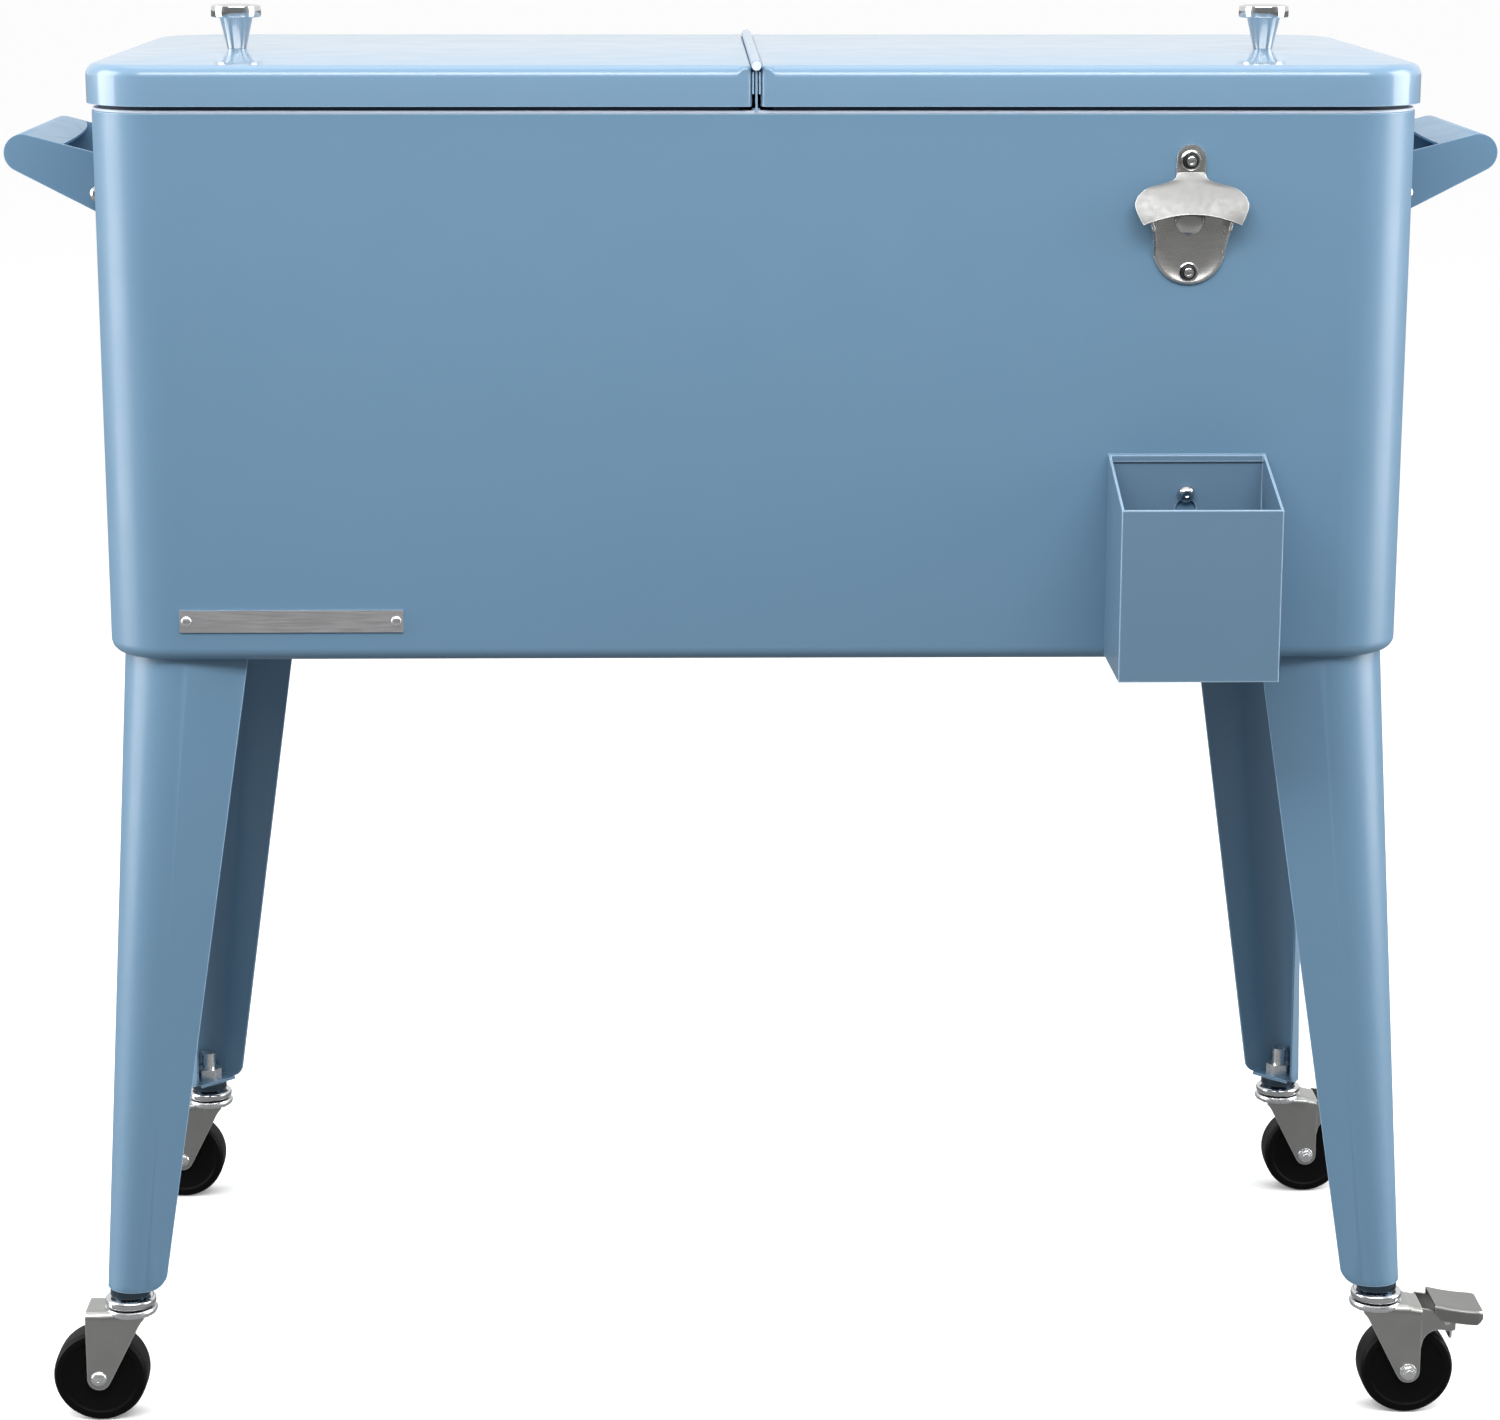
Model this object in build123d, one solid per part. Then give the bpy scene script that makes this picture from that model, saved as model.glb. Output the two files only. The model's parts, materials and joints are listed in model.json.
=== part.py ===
from build123d import *
import math
import os

# Rolling patio drinks cooler: an insulated steel chest with two lids on a centre hinge,
# standing on four tapered sheet legs with swivel casters.
# Millimetres, +X right seen from the front, +Y to the back, +Z up. Everything is drawn about the
# chest's own centre line, then shifted by CHEST_Y, so that the origin lies on the ground under the
# centre of the whole outline, cap box included.

# ---- chest ----
SHELL_X, SHELL_Y = 406.0, 192.0          # half sizes of the outer shell
SHELL_BOTTOM, SHELL_TOP = 495.0, 832.0
SHELL_CORNER, SHELL_ROUND = 44.0, 8.0    # plan corner radius, bottom edge radius
SHEET = 1.2                              # steel sheet of shell and lids
FIT_GAP = 0.2                            # between foam and the skins around it
RIM_LIP = 11.0                           # shell's inward lip under the liner rim
WALL = 24.0                              # shell face to liner face
LINER_WALL = 2.0
RIM_TOP = SHELL_TOP + LINER_WALL
LINER_X, LINER_Y = SHELL_X - WALL, SHELL_Y - WALL
LINER_BOTTOM = SHELL_BOTTOM + WALL
LINER_CORNER = 32.0
FRONT = -SHELL_Y
FIELD_X, FIELD_Y, FIELD_CORNER, FIELD_DROP = 300.0, 165.0, 20.0, 1.0   # pressed field in the bottom sheet

# ---- lids and centre hinge ----
LID_X, LID_Y = 409.0, 195.0
LID_BOTTOM, LID_TOP = 836.5, 861.0
LID_CORNER, LID_INNER_CORNER, LID_ROUND = 47.0, 5.0, 7.5
LID_GAP = 2.6                            # centre line to each lid's inner skirt
PAN_PLATE = 2.0
PAN_LOW = 826.0                          # underside of the plug that drops into the liner
PLUG_INSET = 36.0
SEAL_INSET, SEAL_WIDTH = 7.0, 9.0
PIN_Z = LID_TOP
PIN_R, BARREL_R = 1.6, 3.2
RUN_GAP = 0.05                           # radial running clearance
KNUCKLES = 13
KNUCKLE_GAP = 0.5
LEAF = 1.0
LEAF_DEPTH = 17.0
LEAF_RIVET_R = 1.2
KNOB_X = 334.0
KNOB_HEIGHT, KNOB_CAP_R, KNOB_TOP_R, KNOB_FOOT_R, KNOB_CAP = 29.0, 16.3, 11.0, 7.0, 8.5
KNOB_EDGE = 1.5                          # softened edges of the knob's cap
KNOB_SCREW_R = 2.5
BAR_HALF, BAR_LOW = 20.0, 814.0

# ---- legs ----
LEG_SHEET = 1.5
LEG_TOP_CORNER = (398.0, 184.0)          # outer corner of the leg's box at the top
LEG_FOOT_CORNER = (416.0, 219.5)         # and at the foot
LEG_FOOT = 88.0
LEG_TOP_SIZE, LEG_TOP_NOSE, LEG_TOP_TURN = 81.0, 38.0, 8.0
LEG_FOOT_SIZE, LEG_FOOT_NOSE, LEG_FOOT_TURN = 38.0, 18.0, 28.0
FOOT_PLATE = 2.0
LEG_TOE = 13.0                           # radius of each flange's free lower corner
LEG_SCREW_SPOTS = ((20.0, 20.0), (58.0, 16.0), (16.0, 58.0))   # inward from the top corner

# ---- casters ----
SWIVEL_X, SWIVEL_Y = 401.5, 205.0
TRAIL = 20.0
WHEEL_R, WHEEL_HALF = 30.0, 12.0
AXLE_R = 4.0
FORK_SHEET, FORK_INNER = 2.0, 13.5
CROWN_LOW, CROWN_TOP, CROWN_R = 72.6, 75.0, 17.0
RACE_LOW, RACE_TOP, RACE_R = 75.8, 81.5, 16.3
COLLAR_R, STEM_R = 12.8, 5.0
PIVOT_X, PIVOT_Z, PIVOT_R = 44.0, 64.0, 2.0

# ---- fittings on the chest ----
HANDLE_Y = 83.0                          # half length of the grip
GRIP_X, GRIP_Z, GRIP_R = 461.2, 800.0, 12.0
HANDLE_SHEET = 1.6
HANDLE_TOP_Z, HANDLE_LOW_Z = 798.0, 758.0    # where the side plates meet the chest
FLAP_NARROW, FLAP_TAPER = 12.2, 13.0     # flap's reach at the back plate, and what it gains to the front
FLANGE = 22.0
BOLT_Y, BOLT_Z, BOLT_R = 94.5, 776.0, 3.0
CAP_NUT_R, CAP_NUT = 6.2, 11.0           # domed nuts that hold the handles
OPENER_X, OPENER_TAB_Z, OPENER_PLATE_Z = 263.5, 804.9, 751.3
OPENER_HALF, OPENER_TAB_R, OPENER_PLATE_R = 35.0, 9.1, 22.0
OPENER_SHEET = 2.0
OPENER_SCREW_Z, OPENER_SCREW_HEAD = (804.4, 737.0), 4.6
HOOD_TOP, HOOD_SHOULDER, HOOD_CORNER, HOOD_LOW, HOOD_ARCH = 799.0, 795.0, 777.0, 764.5, 770.5
HOOD_REACH = 17.0                        # how far the hood's lip stands out from the chest
BOX_X, BOX_HALF, BOX_DEPTH = 265.7, 48.5, 80.0
BOX_BOTTOM, BOX_FRONT_TOP, BOX_BACK_TOP = 498.0, 603.0, 625.0
BOX_SHEET = 1.5
BOX_HEM = 5.0                            # height of the back's folded top edge
BOX_GAP = 0.3
BOX_SCREW_Z, KEYHOLE_DROP, KEYHOLE_R = 600.0, 9.5, 6.3
PLATE_X, PLATE_Z, PLATE_LENGTH, PLATE_HEIGHT = -288.0, 520.6, 138.5, 13.8
PLATE_SHEET, RIVET_X = 1.2, 65.0
SCREW_R, SCREW_DEPTH = 2.0, 12.0
DRAIN_X, DRAIN_Z, DRAIN_R, DRAIN_BORE = 300.0, 552.0, 11.0, 7.5

# ---- where the chest's centre line lies, midway between the cap box's front and the rear axle nuts ----
AXLE_NUT = 5.0
OUTLINE_FRONT = FRONT - BOX_GAP - BOX_DEPTH
OUTLINE_BACK = SWIVEL_Y + FORK_INNER + FORK_SHEET + AXLE_NUT
CHEST_Y = -(OUTLINE_FRONT + OUTLINE_BACK) / 2


def facing_front(y):
    """Sketch plane at depth y: local x is X, local y is Z, extruding towards the front."""
    return Plane(origin=(0, y, 0), x_dir=(1, 0, 0), z_dir=(0, -1, 0))


def block(half_x, half_y, low, high, corner):
    return Pos(0, 0, low) * extrude(RectangleRounded(2 * half_x, 2 * half_y, corner), high - low)


def rod(x, y, z, radius, length, direction):
    """Cylinder that starts at a point and runs along a direction."""
    return extrude(Plane(origin=(x, y, z), z_dir=direction) * Circle(radius), length)


def bottom_rounded(solid, radius):
    return fillet(solid.faces().sort_by(Axis.Z)[0].edges(), radius)


def top_rounded(solid, radius):
    return fillet(solid.faces().sort_by(Axis.Z)[-1].edges(), radius)


def other_side(solid):
    return mirror(solid, Plane.YZ)


def front_screw_holes():
    """Clearance for every fastener that enters the chest's front wall."""
    spots = [(OPENER_X, z) for z in OPENER_SCREW_Z] + [(BOX_X, BOX_SCREW_Z)]
    spots += [(PLATE_X + side * RIVET_X, PLATE_Z) for side in (-1, 1)]
    return [rod(x, FRONT - 1, z, SCREW_R + 0.1, SCREW_DEPTH + 2, (0, 1, 0)) for x, z in spots]


def side_bolt_holes():
    return [rod(side * (SHELL_X + 1), end * BOLT_Y, BOLT_Z, BOLT_R + 0.1, 15, (-side, 0, 0))
            for side in (-1, 1) for end in (-1, 1)]


def leg_screw_places():
    corner_x, corner_y = LEG_TOP_CORNER
    return [(sx * (corner_x - u), sy * (corner_y - v))
            for sx in (-1, 1) for sy in (-1, 1) for u, v in LEG_SCREW_SPOTS]


def leg_screw_holes():
    return [rod(x, y, SHELL_BOTTOM - 1, SCREW_R + 0.1, 14, (0, 0, 1)) for x, y in leg_screw_places()]


def wall_holes():
    drain = rod(DRAIN_X, SHELL_Y + 1, DRAIN_Z, DRAIN_R + 0.1, WALL + 4, (0, -1, 0))
    return front_screw_holes() + side_bolt_holes() + leg_screw_holes() + [drain]


# ---------------------------------------------------------------- chest

def outer_shell():
    outside = bottom_rounded(block(SHELL_X, SHELL_Y, SHELL_BOTTOM, SHELL_TOP, SHELL_CORNER), SHELL_ROUND)
    inside = block(SHELL_X - SHEET, SHELL_Y - SHEET, SHELL_BOTTOM + SHEET, SHELL_TOP - SHEET,
                   SHELL_CORNER - SHEET)
    inside = bottom_rounded(inside, SHELL_ROUND - SHEET)
    outside += block(FIELD_X, FIELD_Y, SHELL_BOTTOM - FIELD_DROP, SHELL_BOTTOM + SHEET, FIELD_CORNER)
    inside += block(FIELD_X - SHEET, FIELD_Y - SHEET, SHELL_BOTTOM + SHEET - FIELD_DROP,
                    SHELL_BOTTOM + 2 * SHEET, FIELD_CORNER - SHEET)
    mouth = block(SHELL_X - RIM_LIP, SHELL_Y - RIM_LIP, SHELL_TOP - 2 * SHEET, SHELL_TOP + 1,
                  SHELL_CORNER - RIM_LIP)
    shell = outside - inside - mouth
    for hole in wall_holes():
        shell -= hole
    return shell


def insulation():
    skin = SHEET + FIT_GAP
    outside = block(SHELL_X - skin, SHELL_Y - skin, SHELL_BOTTOM + skin, SHELL_TOP - skin,
                    SHELL_CORNER - skin)
    outside = bottom_rounded(outside, SHELL_ROUND - SHEET)
    well = block(LINER_X + FIT_GAP, LINER_Y + FIT_GAP, LINER_BOTTOM - FIT_GAP, SHELL_TOP + 1,
                 LINER_CORNER + FIT_GAP)
    foam = outside - bottom_rounded(well, 14)
    for hole in wall_holes():
        foam -= hole
    return foam


def liner():
    rim_y = SHELL_Y - 0.8
    rim = block(SHELL_X - 0.8, rim_y, SHELL_TOP, RIM_TOP, SHELL_CORNER - 0.8)
    tub = bottom_rounded(block(LINER_X, LINER_Y, LINER_BOTTOM, RIM_TOP, LINER_CORNER), 14)
    well = block(LINER_X - LINER_WALL, LINER_Y - LINER_WALL, LINER_BOTTOM + LINER_WALL, RIM_TOP + 1,
                 LINER_CORNER - LINER_WALL)
    tub = rim + tub - bottom_rounded(well, 12)
    return tub - rod(DRAIN_X, SHELL_Y, DRAIN_Z, DRAIN_R + 0.1, WALL + 10, (0, -1, 0))


def centre_bar():
    """Inverted channel across the well that the lids' inner edges close on."""
    length = 2 * (LINER_Y - LINER_WALL) - 0.4
    bar = Pos(0, 0, (BAR_LOW + RIM_TOP) / 2) * Box(2 * BAR_HALF, length, RIM_TOP - BAR_LOW)
    bar = fillet(bar.edges().filter_by(Axis.Y).group_by(Axis.Z)[-1], 3)
    hollow = Pos(0, 0, BAR_LOW) * Box(2 * (BAR_HALF - LINER_WALL), length + 2, 2 * (RIM_TOP - BAR_LOW - 2.5))
    return bar - hollow


# ---------------------------------------------------------------- centre hinge

def knuckle_spans(kind):
    """Y ranges of the knuckles of one kind: 0 fixed to the chest, 1 left lid, 2 right lid."""
    pitch = 2 * LID_Y / KNUCKLES
    return [(-LID_Y + i * pitch + KNUCKLE_GAP / 2, -LID_Y + (i + 1) * pitch - KNUCKLE_GAP / 2)
            for i in range(KNUCKLES) if i % 3 == kind]


def knuckled_plate(kind, centre_x, thickness, low):
    """A hinge plate hanging from its own knuckles, cut clear of the other knuckles."""
    shoulder = PIN_Z - BARREL_R - 0.8
    plate = Pos(centre_x, 0, (low + shoulder) / 2) * Box(thickness, 2 * LID_Y - 3, shoulder - low)
    for start, end in knuckle_spans(kind):
        middle, length = (start + end) / 2, end - start
        neck = Pos(centre_x, middle, (shoulder + PIN_Z) / 2) * Box(thickness, length, PIN_Z - shoulder)
        plate += neck
        plate += rod(0, start, PIN_Z, BARREL_R, length, (0, 1, 0))
    return plate - rod(0, -LID_Y - 1, PIN_Z, PIN_R + RUN_GAP, 2 * LID_Y + 2, (0, 1, 0))


def hinge_web():
    web = knuckled_plate(0, 0, 1.2, RIM_TOP)
    for end in (-1, 1):
        web += Pos(0, end * (SHELL_Y - 8), RIM_TOP + 0.6) * Box(4.6, 12, 1.2)
    return web


def hinge_leaf(kind):
    """Leaf for the right lid, on the knuckles of its own kind."""
    leaf = knuckled_plate(kind, LID_GAP - LEAF / 2 - 0.1, LEAF, LID_TOP - LEAF_DEPTH)
    for z, y in leaf_rivet_places():
        leaf -= rod(LID_GAP - 2 * LEAF, y, z, LEAF_RIVET_R + 0.1, 4, (1, 0, 0))
    return leaf


def leaf_rivet_places():
    height = LID_TOP - LEAF_DEPTH + 6
    return [(height, y) for y in (-150, -50, 50, 150)]


def leaf_rivets():
    return Compound(children=[rod(LID_GAP - LEAF - 0.1, y, z, LEAF_RIVET_R, 3.4, (1, 0, 0))
                              for z, y in leaf_rivet_places()])


def hinge_pin():
    pin = rod(0, -LID_Y - 1.5, PIN_Z, PIN_R, 2 * LID_Y + 3, (0, 1, 0))
    for end in (-1, 1):
        pin += rod(0, end * (LID_Y + 0.3), PIN_Z, BARREL_R - 0.4, 1.2, (0, end, 0))
    return pin


# ---------------------------------------------------------------- right-hand lid

def lid_outline(inset, inner_corner=LID_INNER_CORNER):
    """Plan of the right lid, drawn in by an inset: big outer corners, small ones at the hinge."""
    low_x, high_x, half_y = LID_GAP + inset, LID_X - inset, LID_Y - inset
    plan = Pos((low_x + high_x) / 2, 0) * Rectangle(high_x - low_x, 2 * half_y)
    plan = fillet(plan.vertices().group_by(Axis.X)[-1], max(LID_CORNER - inset, 8))
    return fillet(plan.vertices().group_by(Axis.X)[0], max(inner_corner - inset, 2))


def lid_block(inset, low, high):
    return Pos(0, 0, low) * extrude(lid_outline(inset), high - low)


def lid_skin():
    outside = top_rounded(lid_block(0, LID_BOTTOM, LID_TOP), LID_ROUND)
    inside = top_rounded(lid_block(SHEET, LID_BOTTOM - 1, LID_TOP - SHEET), LID_ROUND - SHEET)
    skin = outside - inside - rod(KNOB_X, 0, LID_TOP - 3, KNOB_SCREW_R + 0.1, 6, (0, 0, 1))
    for z, y in leaf_rivet_places():
        skin -= rod(LID_GAP - 1, y, z, LEAF_RIVET_R + 0.1, 3, (1, 0, 0))
    return skin


def lid_foam():
    under = LID_BOTTOM + 0.5 + PAN_PLATE + FIT_GAP
    skin = SHEET + FIT_GAP
    foam = top_rounded(lid_block(skin, under, LID_TOP - skin), LID_ROUND - skin)
    foam += lid_block(PLUG_INSET + PAN_PLATE + FIT_GAP, PAN_LOW + PAN_PLATE + FIT_GAP, under + 1)
    foam -= rod(KNOB_X, 0, LID_TOP - 14, 8, 16, (0, 0, 1))
    for z, y in leaf_rivet_places():
        foam -= rod(LID_GAP, y, z, 2.0, 4.5, (1, 0, 0))
    return foam


def lid_pan():
    """Inner cover: a flange inside the skirt and a shallow plug that drops into the liner."""
    low = LID_BOTTOM + 0.5
    pan = lid_block(SHEET + FIT_GAP, low, low + PAN_PLATE)
    plug = bottom_rounded(lid_block(PLUG_INSET, PAN_LOW, low + PAN_PLATE), 4)
    hollow = lid_block(PLUG_INSET + PAN_PLATE, PAN_LOW + PAN_PLATE, low + PAN_PLATE + 1)
    return pan + plug - hollow


def lid_seal():
    low, high = RIM_TOP + 0.1, LID_BOTTOM + 0.5
    outside = lid_block(SEAL_INSET, low, high)
    return outside - lid_block(SEAL_INSET + SEAL_WIDTH, low - 1, high + 1)


def lid_knob():
    top = LID_TOP + KNOB_HEIGHT
    under_cap = top - KNOB_CAP
    soft = KNOB_EDGE
    profile = Polyline((0, LID_TOP), (KNOB_FOOT_R, LID_TOP), (KNOB_TOP_R, under_cap - soft),
                       (KNOB_CAP_R - soft, under_cap), (KNOB_CAP_R, under_cap + soft),
                       (KNOB_CAP_R, top - soft), (KNOB_CAP_R - soft, top - soft / 4), (0, top),
                       (0, LID_TOP))
    knob = revolve(Plane.XZ * make_face(profile), Axis.Z)
    return Pos(KNOB_X, 0, 0) * knob - rod(KNOB_X, 0, LID_TOP - 1, KNOB_SCREW_R + RUN_GAP, 15, (0, 0, 1))


def knob_screw():
    seat = LID_TOP - SHEET
    shank, head = (0, 0, 1), (0, 0, -1)
    return rod(KNOB_X, 0, seat, KNOB_SCREW_R, 12, shank) + rod(KNOB_X, 0, seat, 2 * KNOB_SCREW_R, 3, head)


# ---------------------------------------------------------------- legs

def leg_side(size, nose, turn_degrees, radius):
    """One side of a leg's plan, inward from the box's corner: nose start, nose middle, flange end."""
    turn = math.radians(turn_degrees)
    start = (nose + radius * math.sin(turn), nose - radius * math.cos(turn))
    middle = nose - radius * math.sqrt(0.5)
    reach = (size - nose - nose * math.sin(turn)) / math.cos(turn)
    end = (start[0] + reach * math.cos(turn), start[1] + reach * math.sin(turn))
    return start, (middle, middle), end


def leg_bend(place, start, middle, end):
    """Flange, nose and flange as one run of edges, mirrored about the leg's diagonal."""
    return [Line(place(*end), place(*start)),
            ThreePointArc(place(*start), place(*middle), place(start[1], start[0])),
            Line(place(start[1], start[0]), place(end[1], end[0]))]


def leg_section(corner, size, nose, turn_degrees, z):
    """Bent sheet in plan: a round nose at the outer corner and two flanges that turn inward."""
    def place(u, v):
        return (corner[0] - u, corner[1] - v, z)

    outer = leg_side(size, nose, turn_degrees, nose)
    inner = leg_side(size, nose, turn_degrees, nose - LEG_SHEET)
    out_end, in_end = outer[2], inner[2]
    edges = leg_bend(place, *outer) + leg_bend(place, *inner)
    edges += [Line(place(*out_end), place(*in_end)),
              Line(place(out_end[1], out_end[0]), place(in_end[1], in_end[0]))]
    return make_face(edges)


def leg_plate(corner, size, nose, turn_degrees, low, high):
    """Flat plate that fills the leg's section, with a diagonal free edge."""
    def place(u, v):
        return (corner[0] - u, corner[1] - v, low)

    start, middle, end = leg_side(size - 1, nose, turn_degrees, nose - LEG_SHEET / 2)
    edges = leg_bend(place, start, middle, end) + [Line(place(end[1], end[0]), place(*end))]
    return extrude(make_face(edges), high - low, dir=(0, 0, 1))


def toe_cutter(foot_end, inward, head_end):
    """Rounds off a flange's lower corner, drawn in the plane of its bottom edge and its free edge."""
    corner, toward_nose = Vector(*foot_end), Vector(*inward).normalized()
    upward = (Vector(*head_end) - corner).normalized()
    along, up = corner + toward_nose * LEG_TOE, corner + upward * LEG_TOE
    centre = along + upward * LEG_TOE
    middle = centre - (toward_nose + upward).normalized() * LEG_TOE
    below, outside = along - upward, up - toward_nose
    waste = make_face([ThreePointArc(along, middle, up), Line(up, outside),
                       Line(outside, corner - toward_nose - upward),
                       Line(corner - toward_nose - upward, below), Line(below, along)])
    normal = toward_nose.cross(upward).normalized()
    return extrude(waste, 5, dir=tuple(normal)) + extrude(waste, 5, dir=tuple(-normal))


def toe_cutters():
    start, _, foot = leg_side(LEG_FOOT_SIZE, LEG_FOOT_NOSE, LEG_FOOT_TURN, LEG_FOOT_NOSE)
    head = leg_side(LEG_TOP_SIZE, LEG_TOP_NOSE, LEG_TOP_TURN, LEG_TOP_NOSE)[2]
    cutters = []
    for turned in (False, True):
        inner, low, high = [(p[1], p[0]) if turned else p for p in (start, foot, head)]
        low_point = (LEG_FOOT_CORNER[0] - low[0], LEG_FOOT_CORNER[1] - low[1], LEG_FOOT)
        high_point = (LEG_TOP_CORNER[0] - high[0], LEG_TOP_CORNER[1] - high[1], SHELL_BOTTOM)
        cutters.append(toe_cutter(low_point, (low[0] - inner[0], low[1] - inner[1], 0), high_point))
    return cutters


def leg():
    """Rear right leg; the other three are its mirror images."""
    foot = leg_section(LEG_FOOT_CORNER, LEG_FOOT_SIZE, LEG_FOOT_NOSE, LEG_FOOT_TURN, LEG_FOOT)
    head = leg_section(LEG_TOP_CORNER, LEG_TOP_SIZE, LEG_TOP_NOSE, LEG_TOP_TURN, SHELL_BOTTOM)
    sheet = loft([foot, head], ruled=True)
    foot_plate = leg_plate(LEG_FOOT_CORNER, LEG_FOOT_SIZE, LEG_FOOT_NOSE, LEG_FOOT_TURN,
                           LEG_FOOT, LEG_FOOT + FOOT_PLATE)
    head_plate = leg_plate(LEG_TOP_CORNER, LEG_TOP_SIZE, LEG_TOP_NOSE, LEG_TOP_TURN,
                           SHELL_BOTTOM - FOOT_PLATE, SHELL_BOTTOM)
    whole = sheet + foot_plate + head_plate
    for cutter in toe_cutters():
        whole -= cutter
    whole -= rod(SWIVEL_X, SWIVEL_Y, LEG_FOOT - 1, STEM_R + 0.1, 4, (0, 0, 1))
    for u, v in LEG_SCREW_SPOTS:
        whole -= rod(LEG_TOP_CORNER[0] - u, LEG_TOP_CORNER[1] - v, SHELL_BOTTOM - 4, SCREW_R + 0.1,
                     6, (0, 0, 1))
    return whole


def leg_screws():
    seat = SHELL_BOTTOM - FOOT_PLATE
    return Compound(children=[rod(x, y, seat, SCREW_R, 13, (0, 0, 1)) + rod(x, y, seat, 4, 2.5, (0, 0, -1))
                              for x, y in leg_screw_places()])


# ---------------------------------------------------------------- casters

def at_each_swivel(solid):
    return Compound(children=[Pos(sx * SWIVEL_X, sy * SWIVEL_Y, 0) * solid
                              for sx in (-1, 1) for sy in (-1, 1)])


def hexagon(across_flats, low, high):
    return Pos(0, 0, low) * extrude(RegularPolygon(across_flats / 2, 6, major_radius=False), high - low)


def caster_stem():
    """Threaded stem riveted through the upper raceway."""
    return rod(0, 0, RACE_LOW, STEM_R, 34, (0, 0, 1))


def stem_nut():
    return hexagon(16, LEG_FOOT + FOOT_PLATE, LEG_FOOT + FOOT_PLATE + 8) - rod(
        0, 0, LEG_FOOT, STEM_R + 0.05, 20, (0, 0, 1))


def stem_collar():
    collar = rod(0, 0, RACE_TOP, COLLAR_R, LEG_FOOT - RACE_TOP, (0, 0, 1))
    collar = chamfer(collar.edges().group_by(Axis.Z)[0], 1.5)
    return collar - rod(0, 0, RACE_TOP - 1, STEM_R + 0.05, 20, (0, 0, 1))


def upper_raceway():
    race = rod(0, 0, RACE_LOW, RACE_R, RACE_TOP - RACE_LOW, (0, 0, 1))
    race = fillet(race.edges().filter_by(GeomType.CIRCLE), 2.2)
    return race - rod(0, 0, RACE_LOW - 1, STEM_R + 0.05, 20, (0, 0, 1))


def plain_arm():
    """Side plate of a fork, tapering from the crown to a round end at the axle."""
    end = 7.5
    outline = Polyline((-9, CROWN_TOP), (TRAIL + end, CROWN_TOP), (TRAIL + end, WHEEL_R),
                       (TRAIL, WHEEL_R - end), (TRAIL - end + 1, WHEEL_R - 3), (-6, CROWN_LOW - 6),
                       (-9, CROWN_TOP))
    return make_face(outline) + Pos(TRAIL, WHEEL_R) * Circle(end)


def brake_arm():
    """The same plate with an ear that carries the brake lever's pivot."""
    ear = Polyline((TRAIL + 4, CROWN_TOP), (PIVOT_X + 1, PIVOT_Z + 5.5), (PIVOT_X + 5.5, PIVOT_Z),
                   (PIVOT_X + 3, PIVOT_Z - 6), (TRAIL + 12, PIVOT_Z - 7), (TRAIL + 7.5, PIVOT_Z - 14),
                   (TRAIL + 4, CROWN_TOP))
    return plain_arm() + make_face(ear)


def fork(braked):
    crown = Pos(0, 0, CROWN_LOW) * extrude(Circle(CROWN_R), CROWN_TOP - CROWN_LOW)
    width = 2 * (FORK_INNER + FORK_SHEET)
    shoulder = Pos((TRAIL + 7.5) / 2, 0, (CROWN_LOW + CROWN_TOP) / 2) * Box(
        TRAIL + 7.5, width, CROWN_TOP - CROWN_LOW)
    body = crown + shoulder
    outline = brake_arm() if braked else plain_arm()
    for y in (-FORK_INNER, FORK_INNER + FORK_SHEET):
        body += extrude(facing_front(y) * outline, FORK_SHEET)
    body -= rod(TRAIL, -20, WHEEL_R, AXLE_R + 0.02, 40, (0, 1, 0))
    if braked:
        body -= rod(PIVOT_X, -20, PIVOT_Z, PIVOT_R + 0.02, 40, (0, 1, 0))
    return body


def axle():
    """Axle bolt, drawn for the right-hand casters: nut at the front, domed head at the back."""
    face = FORK_INNER + FORK_SHEET
    bolt = rod(TRAIL, face, WHEEL_R, AXLE_R, 2 * face + AXLE_NUT, (0, -1, 0))
    head = rod(TRAIL, face, WHEEL_R, 6.2, 2.6, (0, 1, 0))
    head = fillet(head.edges().group_by(Axis.Y)[-1], 2.2)
    nut = extrude(Plane(origin=(TRAIL, -face, WHEEL_R), z_dir=(0, -1, 0)) *
                  RegularPolygon(5.5, 6, major_radius=False), AXLE_NUT - 1)
    return bolt + head + nut


def wheel():
    disc = rod(TRAIL, -WHEEL_HALF, WHEEL_R, WHEEL_R, 2 * WHEEL_HALF, (0, 1, 0))
    disc = fillet(disc.edges().filter_by(GeomType.CIRCLE), 3.0)
    for end in (-1, 1):
        dish = Plane(origin=(TRAIL, end * (WHEEL_HALF + 1), WHEEL_R), z_dir=(0, -end, 0)) * (
            Circle(22) - Circle(9))
        disc -= extrude(dish, 2.2)
    return disc - rod(TRAIL, -20, WHEEL_R, AXLE_R + RUN_GAP, 40, (0, 1, 0))


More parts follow.
